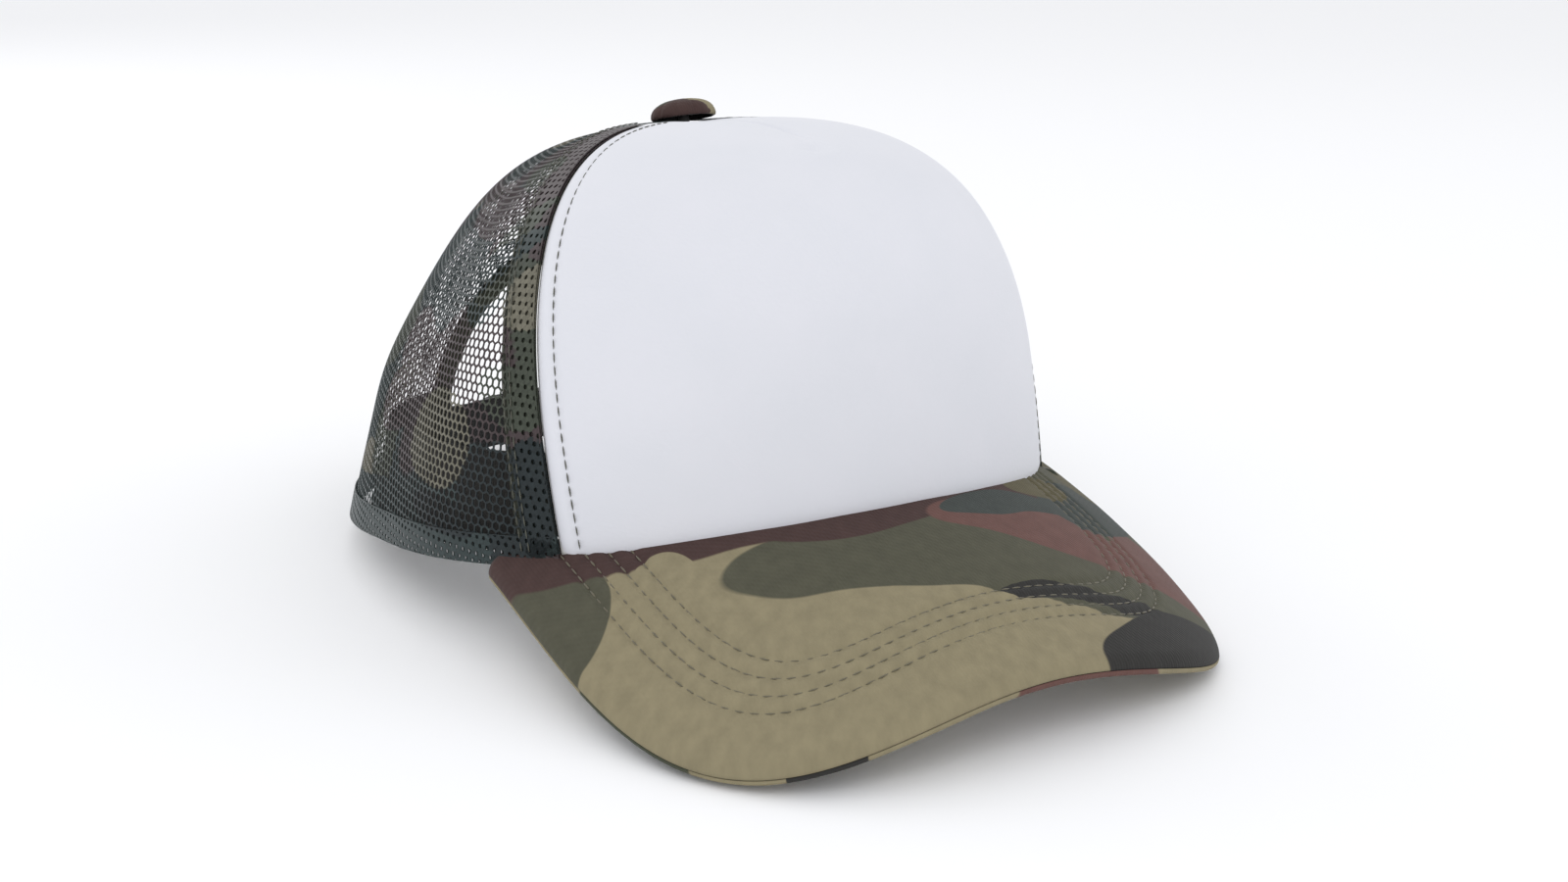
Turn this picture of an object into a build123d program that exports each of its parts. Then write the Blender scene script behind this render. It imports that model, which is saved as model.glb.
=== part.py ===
"""Five-panel trucker cap: foam-backed front, mesh sides and back, stitched curved brim and a snap closure.

The cap stands as it does on a table, nose up, on the two corners of its brim and on its rear hem.
X runs across the cap, the brim points to -Y, and Z is up.
"""
from build123d import *
from math import acos, asin, cos, degrees, hypot, radians, sin, sqrt, tan
import os

# Crown, measured from the hem plane at the temples
front_reach = 104.3        # crown axis to the front of the outline
rear_reach = 100.0
half_width = 94.2
widest_y = 3.1             # where the crown is widest
crown_height = 98.2
crown_root = -25.0         # level that the crown's curves spring from, below the hem
apex_y = -15.4
button_hole_radius = 4.0
front_powers = (7.16, 2.59)    # squareness of the profile: upwards, outwards
side_powers = (1.1, 3.11)
rear_powers = (2.4, 2.0)

# Panels and layers; an inset is measured inwards from the outside of the crown
front_seam_bearing = 45.8      # degrees round from the front, at the crown's root
front_seam_tilt = 11.6
side_seam_bearing = 124.0
seam_gap = 0.15
face_fabric = 0.6
foam_inset = 0.75
foam_thickness = 2.9
mesh_inset = 0.1
mesh_thickness = 0.9
tape_inset = 1.2
tape_thickness = 0.8
tape_width = 11.0
tape_clear_of_button = 17.0
tape_gap = 0.3
band_inset = 5.4
band_thickness = 1.0
band_top = 25.0
band_bottom = 1.0
band_end_x = 36.0

# Rear opening and its binding
arch_half_width = 34.0
arch_height = 59.0
binding_width = 7.0
binding_lay = 0.55
binding_slack = 0.1        # room left for the mesh between the binding's two lays
binding_edge = 0.9

# Snap closure
strap_bottom = 3.4
strap_height = 15.5
strap_thickness = 1.2
strap_inset = 2.9          # the hole strap and both sewn ends
stud_strap_inset = 4.5
hinge_x = 29.5             # where each strap bends, just inside the opening
hinge_gap = 0.75
strap_reach = 21.5         # how far each strap passes the middle of the opening
tab_end_x = 47.0
snap_count = 7
snap_pitch = 7.4
snap_hole_radius = 2.8
stud_radius = 1.5
stud_head_radius = 1.75
stud_length = 3.0
stud_head_length = 0.9
strap_corner = 4.0          # rounding of each strap's free end

# Brim, measured at the middle of its thickness
brim_root_y = -55.8        # where the brim meets the sides of the crown
brim_tip_y = -153.2
brim_half_width = 80.8
brim_power = 3.24          # squareness of the brim's outline
brim_slope = 12.5          # degrees, nose down from the hem plane
brim_radius = 151.7        # cross-curve at the root
brim_tightening = 0.00332  # extra curvature at the tip, per mm
brim_droop = 22.0          # extra drop at the tip
board_thickness = 2.2
brim_fabric = 0.6
brim_layer_gap = 0.1
brim_edge_gap = 0.05       # half the gap where the two faces meet round the edge
brim_seam_inset = 4.6      # brim left inside the crown's outline, under the front panel
brim_seam_level = 4.0      # level at which that outline is taken
brim_stations = (-46, -56, -75, -95, -115, -135, -156)
brim_slab_half = 85.0      # half width of the slab that the outline is cut from

# Button
button_radius = 8.5
button_rise = 5.0
button_lean = 6.0          # degrees, tipped back
button_lift = 0.7
button_fabric = 0.5
button_gap = 0.05          # between the cover and the shell, and over the rivet's end
shell_thickness = 0.5
shank_radius = 1.4
backing_radius = 7.0
backing_thickness = 0.8
backing_drop = 4.6

# Blank care label, hanging inside the sweatband
label_bearing = -100.0
label_spread = 8.0         # degrees each side
label_inset = 6.8
label_thickness = 0.3
label_bottom = 3.0
label_top = 34.0

# Resting attitude
stand_pitch = 8.82
stand_lift = 14.2
stand_shift = 30.0

hem = Plane(
    origin=(0, stand_shift, stand_lift),
    x_dir=(1, 0, 0),
    z_dir=(0, sin(radians(stand_pitch)), cos(radians(stand_pitch))),
)


def placed(x, y, z):
    """Point given in the hem plane's own axes"""
    return hem.from_local_coords(Vector(x, y, z))


def station(y):
    """Plane across the cap at a distance behind the crown's axis, its own y axis square to the hem"""
    return Plane(origin=placed(0, y, 0), x_dir=hem.x_dir, z_dir=-hem.y_dir)


# Crown surface

def powers(bearing):
    """Profile powers at a bearing: front or rear ones, passing into the side ones"""
    front = cos(bearing) > 0
    side = sin(bearing) ** 2 if front else 1 - cos(bearing) ** 4
    end_powers = front_powers if front else rear_powers
    return [end * (1 - side) + flank * side for end, flank in zip(end_powers, side_powers)]


def root_reach(bearing, inset):
    """Crown's outline at its root, as x and y from the crown's axis"""
    end = front_reach + widest_y if cos(bearing) > 0 else rear_reach - widest_y
    x = -(half_width - inset) * sin(bearing)
    y = widest_y - (end - inset) * cos(bearing) - apex_y
    return x, y


def crown_point(bearing, turn, inset):
    """Point on the crown, at an angle up its profile from 0 at the root to a right angle at the apex"""
    up, out = powers(bearing)
    x, y = root_reach(bearing, inset)
    reach = cos(turn) ** (2 / out)
    height = sin(turn) ** (2 / up)
    return x * reach, apex_y + y * reach, crown_root + (crown_height - inset - crown_root) * height


def turn_at(bearing, z, inset=0.0):
    """Angle up the profile at which the crown reaches a level"""
    up, _ = powers(bearing)
    return asin(((z - crown_root) / (crown_height - inset - crown_root)) ** (up / 2))


def crown_rib(bearing, inset, rows=22, steps=300):
    """Points evenly spaced up the crown, from just below the hem to the button hole"""
    _, out = powers(bearing)
    start = turn_at(bearing, -8.0, inset)
    end = acos((button_hole_radius / hypot(*root_reach(bearing, inset))) ** (out / 2))
    points = [crown_point(bearing, start + (end - start) * (i / steps) ** 2, inset) for i in range(steps + 1)]
    lengths = [0.0]
    for a, b in zip(points, points[1:]):
        lengths.append(lengths[-1] + sqrt(sum((q - p) ** 2 for p, q in zip(a, b))))
    rib = []
    for row in range(rows):
        target = lengths[-1] * row / (rows - 1)
        i = min(next(k for k in range(1, steps + 1) if lengths[k] >= target - 1e-9), steps)
        share = (target - lengths[i - 1]) / (lengths[i] - lengths[i - 1])
        rib.append(placed(*(p + (q - p) * share for p, q in zip(points[i - 1], points[i]))))
    return rib


def crown_sheet(first, last, inset, columns=16):
    """Surface of the crown between two bearings in degrees"""
    bearings = [radians(first + (last - first) * i / (columns - 1)) for i in range(columns)]
    return Face.make_surface_from_array_of_points([crown_rib(b, inset) for b in bearings], tol=0.02)


def inward(sheet):
    """Sign that thickens a crown sheet towards the wearer"""
    middle = sheet.position_at(0.5, 0.5)
    return 1 if sheet.normal_at(middle).dot(placed(0, 0, 20) - middle) > 0 else -1


def layer(first, last, inset, thickness, columns=16):
    """One layer of the crown wall between two bearings"""
    sheet = crown_sheet(first, last, inset, columns)
    return thicken(sheet, amount=inward(sheet) * thickness)


def seam_plane(bearing, tilt, side):
    """Plane of a crown seam, facing the rear; side is 1 for the wearer's right and -1 for the left"""
    apex = Vector(0, apex_y, crown_height)
    root = Vector(*crown_point(radians(bearing), 0.0, 0.0))
    down = (root - apex).normalized()
    across = down.cross(Vector(0, 0, 1)).normalized()
    normal = across.rotate(Axis((0, 0, 0), down), tilt)
    local = Vector(side * normal.X, normal.Y, normal.Z)
    return Plane(origin=placed(0, apex_y, crown_height), z_dir=placed(*local) - placed(0, 0, 0))


def egg(z, inset, first, last, count):
    """Points round the crown's outline at one level, between two bearings in degrees"""
    bearings = [radians(first + (last - first) * i / (count - 1)) for i in range(count)]
    return [crown_point(b, turn_at(b, z, inset), inset) for b in bearings]


def bearing_where(coordinate, value, first, last, z, inset=0.0):
    """Bearing in degrees at which x (0) or y (1) of the outline at a level takes a value"""
    for _ in range(40):
        middle = (first + last) / 2
        rising = egg(z, inset, last, last, 2)[0][coordinate] > value
        if (egg(z, inset, middle, middle, 2)[0][coordinate] > value) == rising:
            last = middle
        else:
            first = middle
    return middle


# Brim surface

brim_root_x = -egg(0.0, 0.0, *[bearing_where(1, brim_root_y, 20.0, 90.0, 0.0)] * 2, 2)[0][0]


def brim_curvature(y):
    share = max(0.0, (brim_root_y - y) / (brim_root_y - brim_tip_y))
    return 1 / brim_radius + brim_tightening * share


def brim_crest(y):
    """Height of the brim's middle line above the hem plane"""
    share = max(0.0, (brim_root_y - y) / (brim_root_y - brim_tip_y))
    root_sag = brim_radius - sqrt(brim_radius ** 2 - brim_root_x ** 2)
    return root_sag + (y - brim_root_y) * tan(radians(brim_slope)) - brim_droop * share ** 2


def brim_arc(y, offset, half_span):
    """Ends and top of the brim's arc at a station, offset up from the middle of its thickness"""
    radius = 1 / brim_curvature(y) + offset
    drop = radius - sqrt(radius ** 2 - half_span ** 2)
    top = brim_crest(y) + offset
    return (-half_span, top - drop), (0, top), (half_span, top - drop)


def brim_slab(low, high):
    """Curved slab between two offsets from the middle of the brim, larger than the brim's outline"""
    with BuildPart() as slab:
        for y in brim_stations:
            with BuildSketch(station(y)):
                with BuildLine():
                    top = ThreePointArc(*brim_arc(y, high, brim_slab_half))
                    under = ThreePointArc(*brim_arc(y, low, brim_slab_half))
                    Line(top @ 0, under @ 0)
                    Line(top @ 1, under @ 1)
                make_face()
        loft()
    return slab.part


def brim_outline(extra, depth=70.0):
    """Prism of the brim's plan, larger than the board by extra"""
    width = brim_half_width + extra
    length = brim_root_y - brim_tip_y + extra
    turns = [radians(180 * i / 16) for i in range(17)]
    points = []
    for turn in turns:
        x = width * abs(cos(turn)) ** (2 / brim_power) * (1 if cos(turn) > 0 else -1)
        points.append((x, brim_root_y - length * sin(turn) ** (2 / brim_power)))
    with BuildPart() as prism:
        with BuildSketch(hem.offset(-depth)):
            with BuildLine():
                rim = Spline(*points, tangents=[(0, -1), (0, 1)])
                Line(rim @ 0, rim @ 1)
            make_face()
        extrude(amount=2 * depth)
    return prism.part


with BuildPart() as head_core:
    with BuildSketch(hem.offset(-30)):
        with BuildLine():
            Spline(*[(x, y) for x, y, _ in egg(brim_seam_level, brim_seam_inset, 0, 345, 24)], periodic=True)
        make_face()
    extrude(amount=90)


def brim_piece(low, high, extra):
    with BuildPart() as piece:
        add(brim_slab(low, high))
        add(brim_outline(extra), mode=Mode.INTERSECT)
        add(head_core.part, mode=Mode.SUBTRACT)
    return piece.part


def below_hem(brim_offset, rear_level):
    """Everything under the lower edge of the crown: under the brim's surface ahead, under a level behind"""
    with BuildPart() as cutter:
        for y in (brim_root_y, -66, -78, -92, -112):
            with BuildSketch(station(y)):
                with BuildLine():
                    arc = ThreePointArc(*brim_arc(y, brim_offset, 110.0))
                    Polyline(arc @ 0, (-110, -90), (110, -90), arc @ 1)
                make_face()
        loft()
        with BuildSketch(hem.offset(-90)):
            with Locations((0, brim_root_y + 90)):
                Rectangle(220, 180)
        extrude(amount=90 + rear_level)
    return cutter.part


brim_rise = board_thickness / 2 + brim_layer_gap + brim_fabric
crown_cut = below_hem(brim_rise + seam_gap, 0.0)
band_cut = below_hem(-brim_rise, band_bottom)


def arch(extra):
    """Prism through the back of the crown, larger than the rear opening by extra"""
    with BuildPart() as prism:
        with BuildSketch(station(30.0)):
            Ellipse(arch_half_width + extra, arch_height + extra)
        extrude(amount=-90)
    return prism.part


def button_well(radius):
    """Cylinder round the crown's axis, larger than the crown is tall"""
    with BuildPart() as well:
        with BuildSketch(Plane(origin=placed(0, apex_y, 0), x_dir=hem.x_dir, z_dir=hem.z_dir)):
            Circle(radius)
        extrude(amount=140)
    return well.part


def finish(part, label):
    part.label = label
    export_step(part, f"parts/{label}.step")


os.makedirs("parts", exist_ok=True)
sides = {"right": 1, "left": -1}
front_seams = {side: seam_plane(front_seam_bearing, front_seam_tilt, side) for side in sides.values()}
side_seams = {side: seam_plane(side_seam_bearing, 0.0, side) for side in sides.values()}

# Front panel: one white fabric piece bonded to a foam backing
front_layers = {
    "front_panel_fabric": (0.0, face_fabric),
    "front_panel_foam": (foam_inset, foam_thickness),
}
for name, (inset, thickness) in front_layers.items():
    with BuildPart() as front_layer:
        layer(-95, 95, inset, thickness, columns=33)
        for seam in front_seams.values():
            split(bisect_by=seam.offset(-seam_gap), keep=Keep.BOTTOM)
        add(crown_cut, mode=Mode.SUBTRACT)
    finish(front_layer.part, name)

# Mesh panels, one at each side and one each side of the rear opening
for word, side in sides.items():
    with BuildPart() as side_mesh_panel:
        layer(side * 20, side * 150, mesh_inset, mesh_thickness, columns=24)
        split(bisect_by=front_seams[side].offset(seam_gap), keep=Keep.TOP)
        split(bisect_by=side_seams[side].offset(-seam_gap), keep=Keep.BOTTOM)
        add(crown_cut, mode=Mode.SUBTRACT)
    finish(side_mesh_panel.part, f"side_mesh_panel_{word}")

    with BuildPart() as back_mesh_panel:
        layer(side * 100, side * 180, mesh_inset, mesh_thickness)
        split(bisect_by=side_seams[side].offset(seam_gap), keep=Keep.TOP)
        split(bisect_by=Plane.YZ.offset(-side * seam_gap), keep=Keep.BOTTOM if side > 0 else Keep.TOP)
        add(arch(binding_edge + binding_slack), mode=Mode.SUBTRACT)
        add(crown_cut, mode=Mode.SUBTRACT)
    finish(back_mesh_panel.part, f"back_mesh_panel_{word}")

    # Seam tapes, sewn over the panels' turned edges on the inside
    with BuildPart() as front_seam_tape:
        layer(side * 20, side * 120, tape_inset, tape_thickness, columns=20)
        split(bisect_by=front_seams[side].offset(seam_gap), keep=Keep.TOP)
        split(bisect_by=front_seams[side].offset(tape_width), keep=Keep.BOTTOM)
        add(button_well(tape_clear_of_button), mode=Mode.SUBTRACT)
        add(crown_cut, mode=Mode.SUBTRACT)
    finish(front_seam_tape.part, f"front_seam_tape_{word}")

    with BuildPart() as side_seam_tape:
        layer(side * 100, side * 150, tape_inset, tape_thickness)
        split(bisect_by=side_seams[side].offset(-tape_width / 2), keep=Keep.TOP)
        split(bisect_by=side_seams[side].offset(tape_width / 2), keep=Keep.BOTTOM)
        add(button_well(tape_clear_of_button), mode=Mode.SUBTRACT)
        add(crown_cut, mode=Mode.SUBTRACT)
    finish(side_seam_tape.part, f"side_seam_tape_{word}")

with BuildPart() as back_seam_tape:
    layer(150, 210, tape_inset, tape_thickness)
    for edge, kept in ((-tape_width / 2, Keep.TOP), (tape_width / 2, Keep.BOTTOM)):
        split(bisect_by=Plane.YZ.offset(edge), keep=kept)
    add(button_well(tape_clear_of_button), mode=Mode.SUBTRACT)
    add(arch(binding_width + tape_gap), mode=Mode.SUBTRACT)
finish(back_seam_tape.part, "back_seam_tape")

# Binding folded over the raw edge of the rear opening
with BuildPart() as mesh_room:
    layer(130, 230, mesh_inset - binding_slack, mesh_thickness + 2 * binding_slack, columns=24)
    add(arch(binding_edge), mode=Mode.SUBTRACT)

with BuildPart() as arch_binding:
    binding_depth = mesh_thickness + 2 * (binding_slack + binding_lay)
    layer(130, 230, mesh_inset - binding_slack - binding_lay, binding_depth, columns=24)
    add(arch(binding_width), mode=Mode.INTERSECT)
    add(arch(0.0), mode=Mode.SUBTRACT)
    add(mesh_room.part, mode=Mode.SUBTRACT)
    add(crown_cut, mode=Mode.SUBTRACT)
finish(arch_binding.part, "arch_binding")

# Sweatband round the inside of the hem, open at the back
with BuildPart() as sweatband:
    layer(-165, 165, band_inset, band_thickness, columns=60)
    split(bisect_by=hem.offset(band_top), keep=Keep.BOTTOM)
    add(band_cut, mode=Mode.SUBTRACT)
    with BuildSketch(hem.offset(-20)):
        with Locations((0, 90)):
            Rectangle(2 * band_end_x, 120)
    extrude(amount=80, mode=Mode.SUBTRACT)
finish(sweatband.part, "sweatband")

with BuildPart() as care_label:
    layer(label_bearing - label_spread, label_bearing + label_spread, label_inset, label_thickness)
    split(bisect_by=hem.offset(label_top), keep=Keep.BOTTOM)
    split(bisect_by=hem.offset(label_bottom), keep=Keep.TOP)
finish(care_label.part, "care_label")

# Brim: a stiff board between two fabric faces that meet round its edge
board_half = board_thickness / 2
board = brim_piece(-board_half, board_half, 0.0)
finish(board, "brim_board")

with BuildPart() as board_room:
    add(brim_slab(-board_half - brim_layer_gap, board_half + brim_layer_gap))
    add(brim_outline(brim_layer_gap), mode=Mode.INTERSECT)

for name, low, high in (
    ("brim_top_fabric", brim_edge_gap, brim_rise),
    ("brim_under_fabric", -brim_rise, -brim_edge_gap),
):
    with BuildPart() as brim_face:
        add(brim_piece(low, high, brim_layer_gap + brim_fabric))
        add(board_room.part, mode=Mode.SUBTRACT)
    finish(brim_face.part, name)

# Button: a metal dome under fabric, riveted through the crown to an inside disc
button_plane = Plane(
    origin=placed(0, apex_y, crown_height + button_lift),
    x_dir=hem.x_dir,
    z_dir=hem.z_dir.rotate(Axis.X, -button_lean),
)
button_profile = Plane(origin=button_plane.origin, x_dir=hem.x_dir, z_dir=-button_plane.y_dir)


def dome(radius, rise):
    """Cap of a button: a short upright edge under a spherical crown"""
    edge = rise * 0.35
    sphere = (radius ** 2 + (rise - edge) ** 2) / (2 * (rise - edge))
    lean = degrees(asin((edge - rise + sphere) / sphere))
    with BuildPart() as cap:
        with BuildSketch(button_profile):
            with BuildLine():
                crest = CenterArc((0, rise - sphere), sphere, start_angle=lean, arc_size=90 - lean)
                Polyline(crest @ 0, (radius, 0), (0, 0), crest @ 1)
            make_face()
        revolve(axis=Axis(button_plane.origin, button_plane.z_dir))
    return cap.part


cover_size = (button_radius, button_rise)
shell_room = (button_radius - button_fabric, button_rise - button_fabric)
shell_size = (shell_room[0] - button_gap, shell_room[1] - button_gap)
inner_size = (shell_size[0] - shell_thickness, shell_size[1] - shell_thickness)
for name, outer, inner in (
    ("button_cover", cover_size, shell_room),
    ("button_shell", shell_size, inner_size),
):
    with BuildPart() as button_layer:
        add(dome(*outer))
        add(dome(*inner), mode=Mode.SUBTRACT)
    finish(button_layer.part, name)

with BuildPart() as button_back:
    with BuildSketch(button_plane.offset(-backing_drop - button_lift)):
        Circle(backing_radius)
    extrude(amount=-backing_thickness)
    with BuildSketch(button_plane.offset(-backing_drop - button_lift - backing_thickness / 2)):
        Circle(shank_radius)
    extrude(amount=backing_drop + button_lift + backing_thickness / 2 + inner_size[1] - button_gap)
finish(button_back.part, "button_back")

# Snap closure: two plastic straps that overlap across the opening, each bending at its sewn end
strap_middle = strap_bottom + strap_height / 2 - stand_lift + rear_reach * sin(radians(stand_pitch))


def strap_point(x, inset):
    """Point on a strap's outer face, given across the cap; straps stand upright"""
    first, last = (90.0, 180.0) if x < 0 else (180.0, 270.0)
    bearing = bearing_where(0, x, first, last, strap_middle, inset)
    on_crown = placed(*egg(strap_middle, inset, bearing, bearing, 2)[0])
    return Vector(on_crown.X, on_crown.Y, 0)


def strap_strip(start, end, inset, rounded):
    """Upright band that follows the crown between two places across the cap"""
    stops = [start + (end - start) * i / 6 for i in range(7)]
    with BuildPart() as strip:
        with BuildSketch(Plane.XY.offset(strap_bottom)):
            with BuildLine():
                outer = Spline(*[strap_point(x, inset) for x in stops])
                inner = Spline(*[strap_point(x, inset + strap_thickness) for x in stops])
                Line(outer @ 0, inner @ 0)
                Line(outer @ 1, inner @ 1)
            make_face()
        extrude(amount=strap_height)
        if rounded:
            tip = strip.edges().filter_by(lambda e: abs(e.center().X - end) < 0.5 and e.length < 2)
            fillet(tip, strap_corner)
    return strip.part


def snap_plane(x, inset):
    """Plane on a strap at one snap, facing out of the cap"""
    ahead, behind = strap_point(x + 0.5, inset), strap_point(x - 0.5, inset)
    along = (ahead - behind).normalized()
    middle = strap_point(x, inset) + Vector(0, 0, strap_bottom + strap_height / 2)
    return Plane(origin=middle, x_dir=along, z_dir=Vector(-along.Y, along.X, 0))


snap_places = [snap_pitch * (i - 2.5) for i in range(snap_count)]

for word, side, inset in (("hole", 1, strap_inset), ("stud", -1, stud_strap_inset)):
    with BuildPart() as strap:
        add(strap_strip(side * (hinge_x - hinge_gap), -side * strap_reach, inset, True))
        for x in snap_places:
            snap = snap_plane(side * x, strap_inset).offset(strap_inset - inset)
            if word == "hole":
                with Locations(snap):
                    Cylinder(snap_hole_radius, 4 * strap_thickness, mode=Mode.SUBTRACT)
            else:
                for radius, start, length in (
                    (stud_radius, -0.3, stud_length),
                    (stud_head_radius, stud_length - stud_head_length, stud_head_length),
                ):
                    with BuildSketch(snap.offset(start)):
                        Circle(radius)
                    extrude(amount=length)
    finish(strap.part, f"{word}_strap")

    # Sewn end, caught between the mesh hem and the sweatband
    tab = strap_strip(side * (hinge_x + hinge_gap), side * tab_end_x, strap_inset, False)
    finish(tab, f"{word}_strap_end")

    pivot = (strap_point(side * hinge_x, inset) + strap_point(side * hinge_x, inset + strap_thickness)) / 2
    print(f"{word} strap bends at", pivot)
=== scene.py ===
"""Trucker cap: foam-backed white front, printed mesh sides and back, printed brim, snap closure.

Metres throughout. The cap stands nose up on its brim corners and rear hem, brim towards -Y.
The crown is worked out in the hem's own axes, then stood up with stand().
"""
from math import acos, asin, cos, pi, radians, sin, sqrt, tan

import bmesh
import bpy
import numpy as np
from mathutils import Matrix, Vector, noise


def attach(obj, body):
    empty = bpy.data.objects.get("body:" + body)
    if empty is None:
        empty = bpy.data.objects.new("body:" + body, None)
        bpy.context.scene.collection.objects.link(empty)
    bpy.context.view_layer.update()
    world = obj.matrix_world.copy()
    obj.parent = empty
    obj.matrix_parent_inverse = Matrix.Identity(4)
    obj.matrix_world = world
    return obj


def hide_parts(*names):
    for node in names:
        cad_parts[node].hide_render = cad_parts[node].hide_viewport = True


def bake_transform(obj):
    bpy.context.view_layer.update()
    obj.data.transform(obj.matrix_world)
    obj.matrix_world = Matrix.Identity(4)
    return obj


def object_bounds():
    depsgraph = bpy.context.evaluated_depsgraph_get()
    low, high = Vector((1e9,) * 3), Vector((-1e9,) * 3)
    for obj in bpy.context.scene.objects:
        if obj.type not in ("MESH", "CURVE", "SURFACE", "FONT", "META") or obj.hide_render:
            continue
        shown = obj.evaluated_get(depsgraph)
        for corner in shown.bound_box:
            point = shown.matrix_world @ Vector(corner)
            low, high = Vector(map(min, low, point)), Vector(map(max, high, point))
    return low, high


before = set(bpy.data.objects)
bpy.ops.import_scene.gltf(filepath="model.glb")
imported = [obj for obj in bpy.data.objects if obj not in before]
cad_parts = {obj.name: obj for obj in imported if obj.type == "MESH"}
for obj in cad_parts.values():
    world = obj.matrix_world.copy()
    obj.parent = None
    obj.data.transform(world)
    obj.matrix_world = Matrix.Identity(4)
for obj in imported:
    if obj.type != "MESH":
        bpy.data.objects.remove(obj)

cad_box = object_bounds()
MM = 0.001


# Camera, floor and lights: a pale table in a white room, with a broad soft lamp above on the left
# and a weaker one on the right, so that the white panel shades gently towards its hem.
def linear(code):
    """Linear colour from an sRGB hex code"""
    parts = [int(code[i:i + 2], 16) / 255 for i in (1, 3, 5)]
    return tuple(c / 12.92 if c <= 0.04045 else ((c + 0.055) / 1.055) ** 2.4 for c in parts) + (1.0,)


def add_node(tree, kind, inputs=None, **settings):
    """Add a node, give it its settings, and set or link its inputs"""
    node = tree.nodes.new(kind)
    for name, value in settings.items():
        setattr(node, name, value)
    for key, value in (inputs or {}).items():
        if isinstance(value, bpy.types.NodeSocket):
            tree.links.new(value, node.inputs[key])
        else:
            node.inputs[key].default_value = value
    return node


def new_material(name):
    """Empty material with its shader and output"""
    material = bpy.data.materials.new(name)
    material.use_nodes = True
    tree = material.node_tree
    tree.nodes.clear()
    shader = add_node(tree, "ShaderNodeBsdfPrincipled")
    add_node(tree, "ShaderNodeOutputMaterial", {"Surface": shader.outputs[0]})
    return material, tree, shader


view_azimuth, view_elevation, view_roll = radians(-31.30), radians(15.28), radians(0.77)
view_target = Vector((0.0219, 0.0335, 0.0365))
view_distance = 0.5162
view_turn = (
    Matrix.Rotation(view_azimuth, 4, "Z")
    @ Matrix.Rotation(pi / 2 - view_elevation, 4, "X")
    @ Matrix.Rotation(view_roll, 4, "Z")
)
camera_data = bpy.data.cameras.new("camera")
camera_data.lens = 42.36
camera_data.sensor_width = 36.0
camera_data.shift_x = 0.025
camera_data.shift_y = -0.03125
camera_data.clip_start = 0.01
camera = bpy.data.objects.new("camera", camera_data)
camera.matrix_world = (
    Matrix.Translation(view_target + view_turn.to_3x3() @ Vector((0, 0, view_distance))) @ view_turn
)
bpy.context.collection.objects.link(camera)
bpy.context.scene.camera = camera
bpy.context.scene.view_settings.view_transform = "Standard"

room = bpy.data.worlds.new("room")
room.use_nodes = True
room.node_tree.nodes["Background"].inputs["Color"].default_value = linear("#FAFBFD")
room.node_tree.nodes["Background"].inputs["Strength"].default_value = 0.95
bpy.context.scene.world = room

# name: place, aimed point, size, watts
lamps = {
    "key_lamp": ((-0.75, -0.95, 1.25), (0, -0.02, 0.06), 0.9, 4.6),
    "side_lamp": ((1.3, -0.6, 0.8), (0, 0, 0.05), 0.8, 1.3),
    "rear_lamp": ((-0.4, 1.3, 0.9), (0, 0.05, 0.06), 0.8, 2.6),
}
for name, (place, aim, size, watts) in lamps.items():
    lamp_data = bpy.data.lights.new(name, "AREA")
    lamp_data.size = size
    lamp_data.energy = watts
    lamp = bpy.data.objects.new(name, lamp_data)
    lamp.location = place
    lamp.rotation_euler = (Vector(aim) - Vector(place)).to_track_quat("-Z", "Y").to_euler()
    bpy.context.collection.objects.link(lamp)

floor_half = 4.0
floor_level = cad_box[0].z - 0.0002
floor_mesh = bpy.data.meshes.new("floor")
floor_mesh.from_pydata(
    [(x, y, floor_level) for x, y in ((-1, -1), (1, -1), (1, 1), (-1, 1))], [], [(0, 1, 2, 3)]
)
floor_mesh.transform(Matrix.Diagonal((floor_half, floor_half, 1, 1)))
# Matt white painted board: even and bright, with no gloss under the cap
floor_paint, tree, shader = new_material("matt_white_board")
shader.inputs["Base Color"].default_value = linear("#FAFAFB")
shader.inputs["Roughness"].default_value = 0.9
floor_mesh.materials.append(floor_paint)
floor = bpy.data.objects.new("floor", floor_mesh)
bpy.context.collection.objects.link(floor)


# Front panel: one white knitted-face fabric piece on a formed foam backing, sewn to the mesh along
# both front seams and folded under over the brim. A short dart runs from the button down its middle.
front_reach, rear_reach = 104.3 * MM, 100.0 * MM
half_width, widest_y = 94.2 * MM, 3.1 * MM
crown_height, crown_root, apex_y = 98.2 * MM, -25.0 * MM, -15.4 * MM
button_hole_radius = 4.0 * MM
front_powers, side_powers, rear_powers = (7.16, 2.59), (1.1, 3.11), (2.4, 2.0)
front_seam_bearing, front_seam_tilt = radians(45.8), radians(11.6)
brim_root_y, brim_tip_y, brim_root_x = -55.8 * MM, -153.2 * MM, 78.45 * MM
brim_slope, brim_radius = radians(12.5), 151.7 * MM
brim_tightening, brim_droop = 0.00332 / MM, 22.0 * MM
brim_rise = 1.8 * MM           # from the middle of the brim's thickness to its face
stand_pitch, stand_lift, stand_shift = radians(8.82), 14.2 * MM, 30.0 * MM
turn_steps, rise_steps = 700, 400
bearings = np.radians(np.arange(-180, 180.01, 0.5))
rises = np.linspace(0, 1, rise_steps)


def stand(points):
    """Points from the hem's axes to the table's"""
    x, y, z = np.moveaxis(np.asarray(points, float), -1, 0)
    c, s = cos(stand_pitch), sin(stand_pitch)
    return np.stack([x, y * c + z * s + stand_shift, z * c - y * s + stand_lift], -1)


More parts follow.
